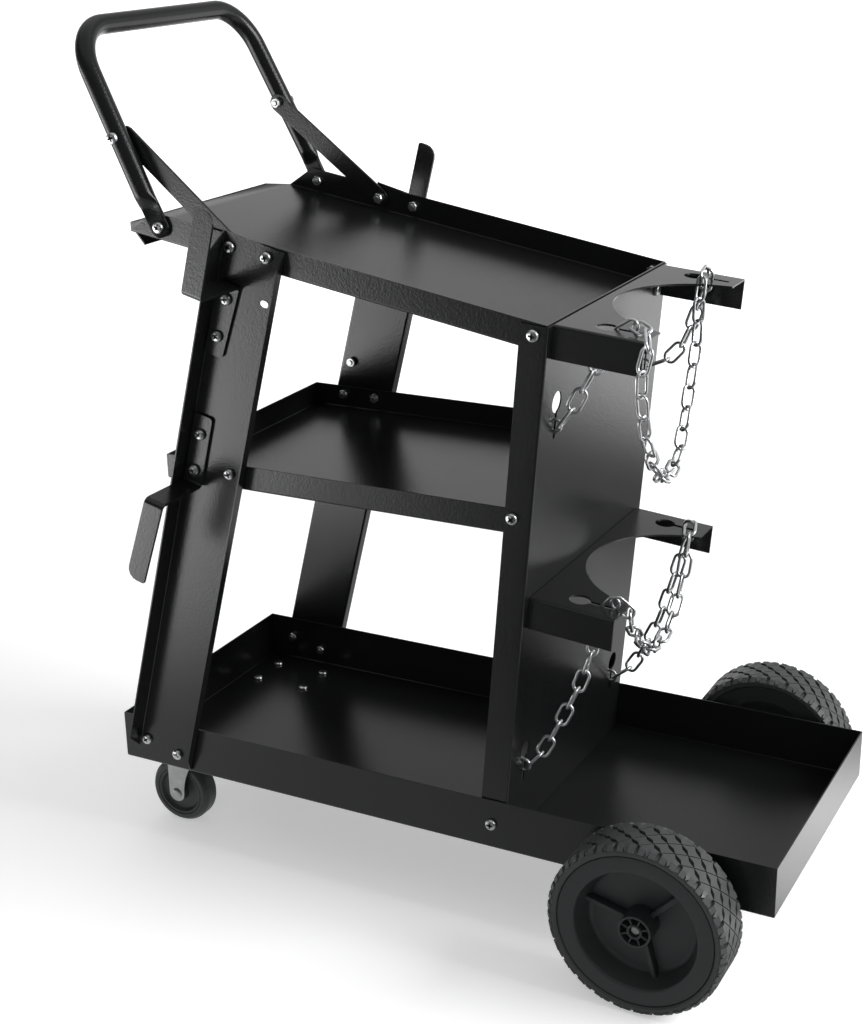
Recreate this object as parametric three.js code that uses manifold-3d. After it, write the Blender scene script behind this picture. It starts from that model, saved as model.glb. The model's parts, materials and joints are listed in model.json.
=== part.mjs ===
// A welding cart: three sheet-steel trays held by two leaning posts and a leaning rear panel.
// A bent tube handle stands on the top tray, cable hooks stick out of the posts, two notched brackets
// with chains hold a gas cylinder behind the panel, and the cart rolls on two casters and two wheels.
import * as THREE from 'three';
import { mergeVertices } from 'three/addons/utils/BufferGeometryUtils.js';
import Module from 'manifold-3d';

// Driving dimensions, in millimetres and degrees. X runs from the handle end to the wheel end,
// Y points to the left of someone who pushes the cart, and Z points up from the floor.

// Sheet steel and fits
const SHEET = 1.5;
const BEND = 2.5;
const FIT = 0.3;
const ROUND_FACETS = 12;

// Trays
const BOTTOM_LENGTH = 744;
const BOTTOM_WIDTH = 305;
const BOTTOM_WALL = 54;
const UPPER_WALL = 26;
const MIDDLE_LENGTH = 409.5;
const MIDDLE_HEIGHT = 338.9;
const TOP_LENGTH = 471.3;
const TOP_HEIGHT = 516.35;
const TOP_TILT = 9.74;
const TOP_CORNER_LENGTH = 18.8;
const TOP_CORNER_WIDTH = 23.3;
const TOP_WALL_SLANT = 26;
const TOP_LIP = 26;
const TOP_LIP_ANGLE = 45;

// Rear panel
const PANEL_FOOT = 463.3;
const PANEL_LEAN = 4.93;
const PANEL_HEIGHT = 542.6;
const PANEL_FLANGE = 27.7;
const PANEL_HOLE = 40;
const PANEL_HOLE_HEIGHT = 250;

// Keyholes that the chains hook into
const KEYHOLE = 21;
const KEYHOLE_SLOT = 5;
const SLOT_FACETS = 4;
const KEYHOLE_REACH = 34;
const KEYHOLE_SIDE = 115;
const PANEL_KEYHOLE_UPPER = 464;
const PANEL_KEYHOLE_LOWER = 98;
const ARM_KEYHOLE = 42;

// Cylinder brackets
const BRACKET_SHEET = 2;
const BRACKET_WIDTH = 280;
const BRACKET_DEPTH = 86.6;
const BRACKET_FLANGE = 32;
const BRACKET_RELIEF = 7;
const CYLINDER_NOTCH = 206;
const CYLINDER_NOTCH_CENTRE = 111;
const NOTCH_FACETS = 24;
const UPPER_BRACKET = 543.3;
const LOWER_BRACKET = 274.5;

// Posts
const POST_FOOT = 51.65;
const POST_FOOT_HEIGHT = 24.2;
const POST_LEAN = 14.5;
const POST_FRONT = 30.5;
const POST_REAR = 40.4;
const POST_FRONT_FLANGE = 24;
const POST_REAR_FLANGE = 12;
const POST_FLANGE_TRIM = 20;
const POST_BELOW = 12;
const POST_ABOVE = 12.5;
const POST_SLOT_LENGTH = 10;
const POST_SLOT_WIDTH = 7;
const POST_SLOT_BELOW = 44;
const POST_SLOT_OFFSET = 27;

// Cable hooks
const HOOK_WIDTH = 22;
const HOOK_THICKNESS = 3;
const HOOK_BEND = 3;
const HOOK_REACH = 70;
const HOOK_LEG_UP = 86;
const HOOK_LEG_DOWN = 92;
const HOOK_END = 21;
const HOOK_CORNER = 4;
const HOOK_TIP_ROUND = 13;
const HOOK_TIP_CORNER = 2;
const HOOK_BOLT_SPACING = 40;
const HOOK_BOLT_TO_ARM = 16;
const HOOK_BELOW_TOP = 52;
const HOOK_SKEW = 4.5;
const UPPER_HOOK_IN = 5;

// Handle and its braces
const TUBE = 20;
const HANDLE_RISE = 208;
const HANDLE_LEAN = 26.9;
const HANDLE_TAPER = 2.7;
const HANDLE_BEND = 48.8;
const HANDLE_STEPS = 48;
const TUBE_FACETS = 5;
const HANDLE_FROM_FRONT = 55.1;
const LEG_OUT = 2;
const FLAT_WIDTH = 21;
const FLAT_THICKNESS = 5;
const FLAT_LENGTH = 20;
const FLAT_BLEND = 16;
const BRACE_WIDTH = 19;
const BRACE_THICKNESS = 3;
const BRACE_RISE = 95;

// Bolts
const BOLT = 6;
const BOLT_HEAD = 12;
const BOLT_HEAD_HEIGHT = 4;
const BOLT_CROWN = 7.7;
const BOLT_RIM = 1.4;
const NUT = 11.5;
const NUT_HEIGHT = 5;
const BOLT_FACETS = 6;
const HOLE_FACETS = 4;
const BOLT_LEVEL = 14.2;
const MIDDLE_BOLT_LEVEL = 16.5;
const MIDDLE_BOLT_OFFSET = 23;
const PANEL_MIDDLE_INSET = 19.5;
const FOOT_BOLT_LEVEL = 27;
const POST_BOLT_SPACING = 41.2;
const TOP_BOLT_SPACING = 41.6;
const PANEL_BOLT_INSET = 14;

// Rear wheels and their axle
const WHEEL_DIAMETER = 177.8;
const WHEEL_WIDTH = 55;
const WHEEL_GAP = 17;
const WHEEL_CENTRE = 631.7;
const RIM_DIAMETER = 156;
const RIM_INSET = 2;
const TYRE_SHOULDER = 7;
const WHEEL_FACETS = 32;
const DISH_MOUTH = 122;
const DISH_FLOOR = 110;
const DISH_DEPTH = 24;
const HUB_WEB = 5;
const HUB_BOSS = 31;
const HUB_RIBS = 3;
const HUB_RIB = 6;
const HUB_RIB_TURN = -45;
const HUB_RIB_DROP = 9;
const AXLE_DIAMETER = 10;
const ROD_FACETS = 12;
const AXLE_COLLAR = 18;
const AXLE_RECESS = 3;
const STRAP_INSET = 42.5;
const STRAP_WIDTH = 24;
const STRAP_THICKNESS = 2;
const STRAP_EAR = 18;

// Casters
const CASTER_CENTRE = 57;
const CASTER_INSET = 52.5;
const CASTER_TRAIL = 20;
const CASTER_WHEEL = 75;
const CASTER_WHEEL_WIDTH = 24;
const CASTER_TREAD_CORNER = 4;
const CASTER_FACETS = 20;
const FORK_FACETS = 6;
const CASTER_DISH = 52;
const CASTER_DISH_DEPTH = 4;
const CASTER_HUB = 22;
const CASTER_HUB_LENGTH = 29.4;
const CASTER_AXLE = 8;
const CASTER_AXLE_HEAD = 13;
const CASTER_AXLE_HEAD_HEIGHT = 4;
const CASTER_PLATE_LENGTH = 80;
const CASTER_PLATE_WIDTH = 62;
const CASTER_PLATE = 2.5;
const CASTER_PLATE_CORNER = 6;
const CASTER_RACE = 46;
const CASTER_RACE_HEIGHT = 5;
const KINGPIN = 10;
const KINGPIN_HEAD = 16;
const KINGPIN_HEAD_HEIGHT = 2.5;
const FORK_SHEET = 2;
const FORK_CROWN = 3;
const FORK_END = 10;
const FORK_TOP_FRONT = 30;
const FORK_TOP_REAR = 6;

// Chains, drawn as their envelope along the route of the links. Each point is the distance behind
// the panel, the distance to the left and the height along the panel.
const CHAIN = 4;
const CHAIN_STEPS = 60;
const CHAIN_FACETS = 4;
const UPPER_CHAIN_ROUTE = [
  [-9, -115, 441], [3, -115, 440], [11, -115, 449], [19, -115, 468], [35, -115, 505],
  [45, -115, 526], [52, -115, 536], [56, -115, 545], [61, -115, 550], [68, -117, 551],
  [77, -122, 550], [85, -130, 549.5], [91.5, -139.5, 547], [93, -147, 538], [91, -149.5, 512],
  [95.5, -139, 464], [98, -122.5, 436], [97, -96, 411.5], [93, -68, 396], [89.5, -40, 388],
  [85, -8, 390], [81, 14, 403], [76, 34, 423], [69, 61, 464], [66, 73, 485],
  [62, 81, 512], [60, 83, 533], [59, 86, 546], [58, 92, 551], [57, 101, 552.5],
  [56.5, 109, 552.5], [56, 114, 549.5], [55.5, 115, 543], [54, 115, 531], [50, 115, 512.5],
  [40, 115, 476.5], [31.5, 115, 460.5], [19.5, 115, 449], [6.5, 115, 442.5], [-9, 115, 441],
];
const LOWER_CHAIN_ROUTE = [
  [-9, -115, 80], [4, -115, 80], [14, -115, 92], [26, -115, 119], [46, -115, 172],
  [54, -115, 200], [60, -115, 225], [64, -115, 250], [66, -115, 265], [68, -115, 276],
  [72, -115, 281], [79, -114, 282], [86, -112.5, 281], [91, -111, 276], [92, -108, 264],
  [91.5, -99, 252], [91, -84, 238], [90, -60, 218], [88, -32, 200], [86, -2, 191],
  [84, 24, 191], [82, 48, 199], [80, 66, 212], [79, 79, 230], [78, 86, 250],
  [77.5, 89, 266], [77, 92, 278], [75, 99, 283], [72, 107, 284], [70, 113.5, 281.5],
  [69, 115, 275], [66.5, 115, 256], [63, 115, 237], [58.5, 115, 214], [48.5, 115, 164],
  [40, 115, 139], [31, 115, 115], [21, 115, 96], [9, 115, 82], [-9, 115, 80],
];

// Finishes
const COAT = { color: 0x17181a, roughness: 0.45, metalness: 0.1 };
const ZINC = { color: 0xc9ccd0, roughness: 0.32, metalness: 0.95 };
const PLASTIC = { color: 0x1b1c1e, roughness: 0.55, metalness: 0 };
const RUBBER = { color: 0x151516, roughness: 0.85, metalness: 0 };

const wasm = await Module();
wasm.setup();

const radians = THREE.MathUtils.degToRad;
const AHEAD = new THREE.Vector3(1, 0, 0);
const LEFT = new THREE.Vector3(0, 1, 0);
const UP = new THREE.Vector3(0, 0, 1);

// Turns a closed geometry into a solid that can be joined and cut.
function solid(geometry) {
  const bare = geometry.clone();
  bare.deleteAttribute('normal');
  bare.deleteAttribute('uv');
  const merged = mergeVertices(bare, 1e-4);
  const vertProperties = Float32Array.from(merged.attributes.position.array);
  const triVerts = Uint32Array.from(merged.index.array);
  return new wasm.Manifold(new wasm.Mesh({ numProp: 3, vertProperties, triVerts }));
}

// Turns a solid back into a geometry.
function surface(body) {
  const mesh = body.getMesh();
  const geometry = new THREE.BufferGeometry();
  geometry.setAttribute('position', new THREE.BufferAttribute(Float32Array.from(mesh.vertProperties), 3));
  geometry.setIndex(new THREE.BufferAttribute(Uint32Array.from(mesh.triVerts), 1));
  return geometry;
}

// An outline through corners, each given as x, y and the radius of its round.
function outline(corners) {
  const shape = new THREE.Shape();
  corners.forEach(([x, y, radius = 0], i) => {
    const corner = new THREE.Vector2(x, y);
    const before = new THREE.Vector2(...corners.at(i - 1)).sub(corner).normalize();
    const after = new THREE.Vector2(...corners[(i + 1) % corners.length]).sub(corner).normalize();
    const half = Math.acos(THREE.MathUtils.clamp(before.dot(after), -1, 1)) / 2;
    const start = before.clone().multiplyScalar(radius / Math.tan(half)).add(corner);
    const end = after.clone().multiplyScalar(radius / Math.tan(half)).add(corner);
    if (i === 0) shape.moveTo(start.x, start.y);
    else shape.lineTo(start.x, start.y);
    if (radius === 0) return;
    const centre = before.clone().add(after).setLength(radius / Math.sin(half)).add(corner);
    const from = start.sub(centre).angle();
    const to = end.sub(centre).angle();
    shape.absarc(centre.x, centre.y, radius, from, to, before.cross(after) > 0);
  });
  return shape;
}

// The outline of a strip bent along a middle line, with the given radius inside each bend.
function stripOutline(middle, thickness, bend) {
  const points = middle.map(([x, y]) => new THREE.Vector2(x, y));
  const heading = (i) => points[i + 1].clone().sub(points[i]).normalize();
  const across = (direction) => new THREE.Vector2(-direction.y, direction.x);
  const side = (sign) => points.map((point, i) => {
    const arriving = heading(Math.max(i - 1, 0));
    const leaving = heading(Math.min(i, points.length - 2));
    const turn = arriving.cross(leaving);
    const mitre = across(arriving).add(across(leaving)).multiplyScalar(1 / (1 + arriving.dot(leaving)));
    const place = mitre.multiplyScalar(sign * thickness / 2).add(point);
    const inside = turn * sign > 0;
    const radius = Math.abs(turn) < 1e-6 ? 0 : bend + (inside ? 0 : thickness);
    return [place.x, place.y, radius];
  });
  return outline([...side(1), ...side(-1).reverse()]);
}

function disc(x, y, radius) {
  const shape = new THREE.Shape();
  shape.absarc(x, y, radius, 0, 2 * Math.PI);
  return shape;
}

// A slot with round ends whose middle line runs between two points.
function slot(x0, y0, x1, y1, width) {
  const angle = Math.atan2(y1 - y0, x1 - x0);
  const shape = new THREE.Shape();
  shape.absarc(x0, y0, width / 2, angle + Math.PI / 2, angle + 1.5 * Math.PI);
  shape.absarc(x1, y1, width / 2, angle - Math.PI / 2, angle + Math.PI / 2);
  return shape;
}

// An outline drawn out along an axis. Outlines for x lie in Y and Z, for y in X and Z, for z in X and Y.
function prism(axis, shape, from, to, facets = 2) {
  const settings = { depth: to - from, bevelEnabled: false, curveSegments: facets };
  const geometry = new THREE.ExtrudeGeometry(shape, settings);
  const place = new THREE.Matrix4();
  if (axis === 'x') place.makeBasis(LEFT, UP, AHEAD).setPosition(from, 0, 0);
  if (axis === 'y') place.makeBasis(AHEAD, UP, LEFT.clone().negate()).setPosition(0, to, 0);
  if (axis === 'z') place.setPosition(0, 0, from);
  return solid(geometry.applyMatrix4(place));
}

// A round bar along an axis, or the cutter for a round hole.
function bar(axis, x, y, radius, from, to, facets = 6) {
  return prism(axis, disc(x, y, radius), from, to, facets);
}

// A round bar that follows a line.
function tubeAlong(line, diameter, steps, facets) {
  const settings = { steps, bevelEnabled: false, curveSegments: facets, extrudePath: line };
  return new THREE.ExtrudeGeometry(disc(0, 0, diameter / 2), settings);
}

function box(x0, x1, y0, y1, z0, z1) {
  return prism('z', outline([[x0, y0], [x1, y0], [x1, y1], [x0, y1]]), z0, z1);
}

// A body turned about Y, from radius and place pairs that start and end on the axis or close.
function turned(profile, segments) {
  const points = profile.map(([radius, place]) => new THREE.Vector2(radius, place));
  return solid(new THREE.LatheGeometry(points, segments));
}

// A frame that leans about Y, and places in and out of it.
function frameAt(x, z, turn) {
  return new THREE.Matrix4().makeRotationY(radians(turn)).setPosition(x, 0, z);
}

function outOf(frame, x, z) {
  return new THREE.Vector3(x, 0, z).applyMatrix4(frame);
}

function into(frame, point) {
  return point.clone().applyMatrix4(frame.clone().invert());
}

// The point of a frame's upright line at x that has the given level in another frame.
function meet(frame, x, other, level) {
  const low = into(other, outOf(frame, x, 0));
  const high = into(other, outOf(frame, x, 1));
  return outOf(frame, x, (level - low.z) / (high.z - low.z));
}

const cart = new THREE.Group();

function add(name, geometry, finish, place = new THREE.Matrix4()) {
  const mesh = new THREE.Mesh(geometry, new THREE.MeshStandardMaterial({ ...finish, flatShading: true }));
  mesh.name = name;
  mesh.applyMatrix4(place);
  cart.add(mesh);
}

// Adds a piece on the right and its mirror image on the left.
function addPair(name, body, finish, place = new THREE.Matrix4()) {
  const right = surface(body);
  const mirror = new THREE.Matrix4().makeScale(1, -1, 1);
  const left = right.clone().applyMatrix4(mirror);
  const index = left.index.array;
  for (let i = 0; i < index.length; i += 3) {
    [index[i], index[i + 1]] = [index[i + 1], index[i]];
  }
  add(`right_${name}`, right, finish, place);
  add(`left_${name}`, left, finish, mirror.clone().multiply(place).multiply(mirror));
}

// Places and sizes that the pieces share
const boltHole = BOLT / 2 + FIT;
const deck = WHEEL_DIAMETER / 2 + AXLE_DIAMETER / 2 + FIT;
const panelWidth = BOTTOM_WIDTH - 2 * SHEET - 2 * FIT;
const upperWidth = panelWidth - 2 * SHEET - 2 * FIT;
const topFloor = deck + TOP_HEIGHT;
const middleFloor = deck + MIDDLE_HEIGHT;

// How far back a tray can reach at a height, just clear of the leaning panel.
function panelFront(z) {
  const lean = radians(PANEL_LEAN);
  return PANEL_FOOT + (z - deck) * Math.tan(lean) - (SHEET + FIT) / Math.cos(lean);
}

const tilt = radians(TOP_TILT);
const topRimRear = panelFront(topFloor + UPPER_WALL * Math.cos(tilt)) - UPPER_WALL * Math.sin(tilt);
const topRear = Math.min(topRimRear, panelFront(topFloor));
const bottomFrame = frameAt(0, deck, 0);
const middleFrame = frameAt(panelFront(middleFloor), middleFloor, 0);
const topFrame = frameAt(topRear, topFloor, TOP_TILT);
const panelFrame = frameAt(PANEL_FOOT, deck, PANEL_LEAN);
const postFrame = frameAt(POST_FOOT, deck + POST_FOOT_HEIGHT, POST_LEAN);
const hookLine = -POST_FRONT + BEND + FIT + HOOK_WIDTH / 2;
const upperHookLine = hookLine + UPPER_HOOK_IN;
const upperHookReach = HOOK_BOLT_TO_ARM + HOOK_BOLT_SPACING;

// How far the part of a hook below its arm runs to the front, at a distance below the arm.
function skewed(below) {
  return below * Math.tan(radians(HOOK_SKEW));
}

// Bolt axes, all along Y
const postTop = into(topFrame, meet(postFrame, 0, topFrame, BOLT_LEVEL)).x;
const postTopHeight = into(postFrame, outOf(topFrame, postTop, BOLT_LEVEL)).z;
const upperHookBolt = postTopHeight - HOOK_BELOW_TOP;
const lowerHookBolt = into(postFrame, meet(postFrame, hookLine, middleFrame, MIDDLE_BOLT_LEVEL)).z;
const legBolt = outOf(topFrame, -TOP_LENGTH + HANDLE_FROM_FRONT, BOLT_LEVEL);
const handleFrame = frameAt(legBolt.x, legBolt.z, -HANDLE_LEAN);
const axes = {
  post_foot_front: outOf(postFrame, -POST_BOLT_SPACING / 2, 0),
  post_foot_rear: outOf(postFrame, POST_BOLT_SPACING / 2, 0),
  post_middle: meet(postFrame, MIDDLE_BOLT_OFFSET, middleFrame, MIDDLE_BOLT_LEVEL),
  post_top_front: outOf(topFrame, postTop - TOP_BOLT_SPACING / 2, BOLT_LEVEL),
  post_top_rear: outOf(topFrame, postTop + TOP_BOLT_SPACING / 2, BOLT_LEVEL),
  upper_hook_top: outOf(postFrame, upperHookLine - skewed(HOOK_BOLT_TO_ARM), upperHookBolt),
  upper_hook_low: outOf(postFrame, upperHookLine - skewed(upperHookReach), upperHookBolt - HOOK_BOLT_SPACING),
  lower_hook_top: outOf(postFrame, hookLine, lowerHookBolt + HOOK_BOLT_SPACING),
  lower_hook_low: outOf(postFrame, hookLine, lowerHookBolt),
  panel_foot: meet(panelFrame, -PANEL_BOLT_INSET, bottomFrame, FOOT_BOLT_LEVEL),
  panel_middle: meet(panelFrame, -PANEL_MIDDLE_INSET, middleFrame, MIDDLE_BOLT_LEVEL),
  panel_top: meet(panelFrame, -PANEL_BOLT_INSET, topFrame, BOLT_LEVEL),
  handle_leg: legBolt,
  brace: outOf(handleFrame, 0, BRACE_RISE),
};

// Cuts a bolt hole right across a piece for each named axis.
function drill(body, frame, names) {
  return names.reduce((rest, name) => {
    const place = into(frame, axes[name]);
    return rest.subtract(bar('y', place.x, place.z, boltHole, -BOTTOM_WIDTH, BOTTOM_WIDTH, HOLE_FACETS));
  }, body);
}

// A tray folded up on four sides, with its floor's underside at z = 0.
function openTray(front, rear, width, wall) {
  const bath = (low, high, floor, rim, bend) => outline([
    [low, rim], [low, floor, bend], [high, floor, bend], [high, rim],
  ]);
  const block = (inset, rim) => {
    const half = width / 2 - inset;
    const bend = BEND - inset;
    const lengthways = prism('x', bath(-half, half, inset, rim, bend), front + inset, rear - inset);
    const crossways = prism('y', bath(front + inset, rear - inset, inset, rim, bend), -half, half);
    return lengthways.intersect(crossways);
  };
  return block(0, wall).subtract(block(SHEET, wall + SHEET));
}

function bottomTray() {
  const tray = openTray(0, BOTTOM_LENGTH, BOTTOM_WIDTH, BOTTOM_WALL);
  return drill(tray, bottomFrame, ['post_foot_front', 'post_foot_rear', 'panel_foot']);
}

function middleTray() {
  const tray = openTray(-MIDDLE_LENGTH, 0, upperWidth, UPPER_WALL);
  return drill(tray, middleFrame, ['post_middle', 'lower_hook_low', 'panel_middle']);
}

// The top tray is open at the handle end, with cut corners and a lip folded back under its edge.
function topTray() {
  const half = upperWidth / 2;
  const beyond = -TOP_LENGTH - 2 * BEND;
  const wallFoot = -TOP_LENGTH + TOP_CORNER_LENGTH;
  const slant = outline([
    [beyond, SHEET], [wallFoot, SHEET], [wallFoot + TOP_WALL_SLANT, UPPER_WALL],
    [wallFoot + TOP_WALL_SLANT, UPPER_WALL + SHEET], [beyond, UPPER_WALL + SHEET],
  ]);
  const plan = (side) => outline([
    [beyond, 0], [-TOP_LENGTH, 0], [-TOP_LENGTH, side * (half - TOP_CORNER_WIDTH)],
    [wallFoot, side * half], [wallFoot, side * (half + SHEET)], [beyond, side * (half + SHEET)],
  ]);
  const fold = radians(TOP_LIP_ANGLE);
  const edge = -TOP_LENGTH + SHEET;
  const lip = stripOutline([
    [edge + 2 * TOP_LIP, SHEET / 2], [edge, SHEET / 2],
    [edge + TOP_LIP * Math.cos(fold), SHEET / 2 - TOP_LIP * Math.sin(fold)],
  ], SHEET, BEND - SHEET);
  const lipHalf = half - TOP_CORNER_WIDTH - FIT;
  const tray = openTray(beyond, 0, upperWidth, UPPER_WALL)
    .subtract(prism('y', slant, -half - SHEET, half + SHEET))
    .subtract(prism('z', plan(1), -SHEET, UPPER_WALL))
    .subtract(prism('z', plan(-1), -SHEET, UPPER_WALL))
    .subtract(box(-TOP_LENGTH - SHEET, edge + TOP_LIP, -lipHalf, lipHalf, -SHEET, 2 * SHEET))
    .add(prism('y', lip, -lipHalf, lipHalf));
  return drill(tray, topFrame, ['post_top_front', 'post_top_rear', 'handle_leg', 'panel_top']);
}

// The outline of a channel whose web lies between two edges, with a flange of its own depth at each.
function channel(low, high, lowDepth, highDepth, turn) {
  return outline([
    [low, lowDepth], [low, 0, BEND], [high, 0, BEND], [high, highDepth],
    [high - SHEET, highDepth], [high - SHEET, SHEET, BEND - SHEET],
    [low + SHEET, SHEET, BEND - SHEET], [low + SHEET, lowDepth],
  ].map(([across, deep, radius = 0]) => [...turn(across, deep), radius]));
}

// A keyhole: a round hole that a link fits through and a slot that holds the link.
function cutKeyhole(body, axis, x, y, along, from, to) {
  const end = [x + along[0] * KEYHOLE_REACH, y + along[1] * KEYHOLE_REACH];
  return body
    .subtract(bar(axis, x, y, KEYHOLE / 2, from, to, ROUND_FACETS))
    .subtract(prism(axis, slot(x, y, ...end, KEYHOLE_SLOT), from, to, SLOT_FACETS));
}

function rearPanel() {
  const half = panelWidth / 2;
  const profile = channel(-half, half, PANEL_FLANGE, PANEL_FLANGE, (y, deep) => [-deep, y]);
  const foot = (SHEET + FIT) / Math.cos(radians(PANEL_LEAN));
  let panel = prism('z', profile, foot, PANEL_HEIGHT);
  for (const side of [-KEYHOLE_SIDE, KEYHOLE_SIDE]) {
    panel = cutKeyhole(panel, 'x', side, PANEL_KEYHOLE_UPPER, [0, -1], -2 * SHEET, SHEET);
    panel = cutKeyhole(panel, 'x', side, PANEL_KEYHOLE_LOWER, [0, -1], -2 * SHEET, SHEET);
  }
  panel = panel.subtract(bar('x', 0, PANEL_HOLE_HEIGHT, PANEL_HOLE / 2, -2 * SHEET, SHEET, ROUND_FACETS));
  return drill(panel, panelFrame, ['panel_foot', 'panel_middle', 'panel_top']);
}

// A cylinder bracket: a notched plate with flanges folded down at its sides and against the panel.
function bracket(height) {
  const half = BRACKET_WIDTH / 2;
  const low = height - BRACKET_FLANGE;
  const inner = half - BRACKET_SHEET;
  const bend = BEND - SHEET + BRACKET_SHEET;
  const hood = outline([
    [-half, low], [-half, height, bend], [half, height, bend], [half, low],
    [inner, low], [inner, height - BRACKET_SHEET, BEND - SHEET],
    [-inner, height - BRACKET_SHEET, BEND - SHEET], [-inner, low],
  ]);
  const flangeHalf = half - BRACKET_RELIEF;
  const under = height - 2 * BRACKET_SHEET;
  const over = height + BRACKET_SHEET;
  let plate = prism('x', hood, FIT, FIT + BRACKET_DEPTH)
    .add(box(FIT, FIT + BRACKET_SHEET, -flangeHalf, flangeHalf, low, height - BRACKET_SHEET / 2))
    .subtract(bar('z', CYLINDER_NOTCH_CENTRE, 0, CYLINDER_NOTCH / 2, under, over, NOTCH_FACETS));
  for (const side of [-KEYHOLE_SIDE, KEYHOLE_SIDE]) {
    plate = cutKeyhole(plate, 'z', ARM_KEYHOLE, side, [1, 0], under, over);
  }
  return plate;
}

// The posts lean inwards a little, from the bottom tray's side to the narrower top tray's side.
const postLow = -POST_BELOW;
const postHigh = postTopHeight + POST_ABOVE;
const rimOnPost = into(postFrame, meet(postFrame, POST_REAR, bottomFrame, BOTTOM_WALL)).z;
const postSlope = (BOTTOM_WIDTH - upperWidth) / 2 / (postHigh - rimOnPost);
const postSide = BOTTOM_WIDTH / 2 + FIT + rimOnPost * postSlope;
const postPlace = postFrame.clone()
  .multiply(new THREE.Matrix4().makeTranslation(0, -postSide, 0))
  .multiply(new THREE.Matrix4().makeRotationX(-Math.atan(postSlope)));

// How far the inner face of a post's web is from the middle of the cart, at a bolt.
function webSide(name) {
  return postSide - into(postFrame, axes[name]).z * postSlope;
}

function post() {
  const front = -POST_FRONT;
  const depths = [[front, front + BEND, POST_FRONT_FLANGE], [POST_REAR - BEND, POST_REAR, POST_REAR_FLANGE]];
  const profile = channel(front, POST_REAR, POST_FRONT_FLANGE, POST_REAR_FLANGE, (x, deep) => [x, -deep]);
  let body = prism('z', profile, postLow, postHigh);
  for (const [low, high, depth] of depths) {
    for (const [end, inwards] of [[postLow, 1], [postHigh, -1]]) {
      const trim = outline([
        [-BEND, end - inwards], [-BEND, end], [-depth - 1, end + inwards * POST_FLANGE_TRIM],
        [-depth - 1, end - inwards],
      ]);
      body = body.subtract(prism('x', trim, low - 1, high + 1));
    }
  }
  const eye = postHigh - POST_ABOVE - POST_SLOT_BELOW;
  const reach = (POST_SLOT_LENGTH - POST_SLOT_WIDTH) / 2;
  const opening = slot(POST_SLOT_OFFSET - reach, eye, POST_SLOT_OFFSET + reach, eye, POST_SLOT_WIDTH);
  body = body.subtract(prism('y', opening, -2 * SHEET, SHEET));
  return drill(body, postFrame, [
    'post_foot_front', 'post_foot_rear', 'post_middle', 'post_top_front', 'post_top_rear',
    'upper_hook_top', 'upper_hook_low', 'lower_hook_top', 'lower_hook_low',
  ]);
}

// A cable hook: a strip that runs along the post, out to the side and on along the post again.
// Below its arm it runs a little to the front.
function hook(line, nearBolt, towards, leg) {
  const seat = SHEET + FIT + HOOK_THICKNESS / 2;
  const tip = SHEET + HOOK_REACH - HOOK_THICKNESS / 2;
  const start = nearBolt - towards * (HOOK_BOLT_SPACING + HOOK_END);
  const arm = nearBolt + towards * HOOK_BOLT_TO_ARM;
  const end = arm + towards * leg;
  const bends = [[-seat, start], [-seat, arm], [-tip, arm], [-tip, end]];
  const profile = stripOutline(bends, HOOK_THICKNESS, HOOK_BEND);
  const half = HOOK_WIDTH / 2;
  const face = outline([
    [line - towards * half, start, HOOK_CORNER], [line + towards * half, start, HOOK_CORNER],
    [line + towards * half, end, HOOK_TIP_ROUND], [line - towards * half, end, HOOK_TIP_CORNER],
  ]);
  const strip = prism('x', profile, line - half, line + half)
    .intersect(prism('y', face, -tip - HOOK_THICKNESS, 0))
    .warp((point) => {
      point[0] -= skewed(Math.max(arm - point[2], 0));
    });
  return [0, 1].reduce((rest, i) => {
    const height = nearBolt - towards * i * HOOK_BOLT_SPACING;
    const middle = line - skewed(Math.max(arm - height, 0));
    return rest.subtract(bar('y', middle, height, boltHole, -seat - HOOK_THICKNESS, 0, HOLE_FACETS));
  }, strip);
}

// The handle's middle line, in its own leaning plane: up one leg, across the bar and down the other.
const footSide = upperWidth / 2 + FIT + FLAT_THICKNESS / 2;
const taper = radians(HANDLE_TAPER);
const legFoot = footSide + LEG_OUT;
const legSide = (rise) => legFoot - Math.max(rise - FLAT_LENGTH, 0) * Math.tan(taper);

class HandleLine extends THREE.Curve {
  constructor() {
    super();
    const hub = HANDLE_RISE - HANDLE_BEND;
    const inward = (HANDLE_BEND + (hub - FLAT_LENGTH) * Math.sin(taper)) / Math.cos(taper);
    const corner = legFoot - inward;
    this.line = new THREE.Path();
    this.line.moveTo(-legFoot, -FLAT_WIDTH / 2);
    this.line.lineTo(-legFoot, FLAT_LENGTH);
    this.line.absarc(-corner, hub, HANDLE_BEND, Math.PI - taper, Math.PI / 2, true);
    this.line.absarc(corner, hub, HANDLE_BEND, Math.PI / 2, taper, true);
    this.line.lineTo(legFoot, FLAT_LENGTH);
    this.line.lineTo(legFoot, -FLAT_WIDTH / 2);
  }

  getPoint(t, target = new THREE.Vector3()) {
    const place = this.line.getPoint(t);
    return target.set(0, place.x, place.y);
  }
}

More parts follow.
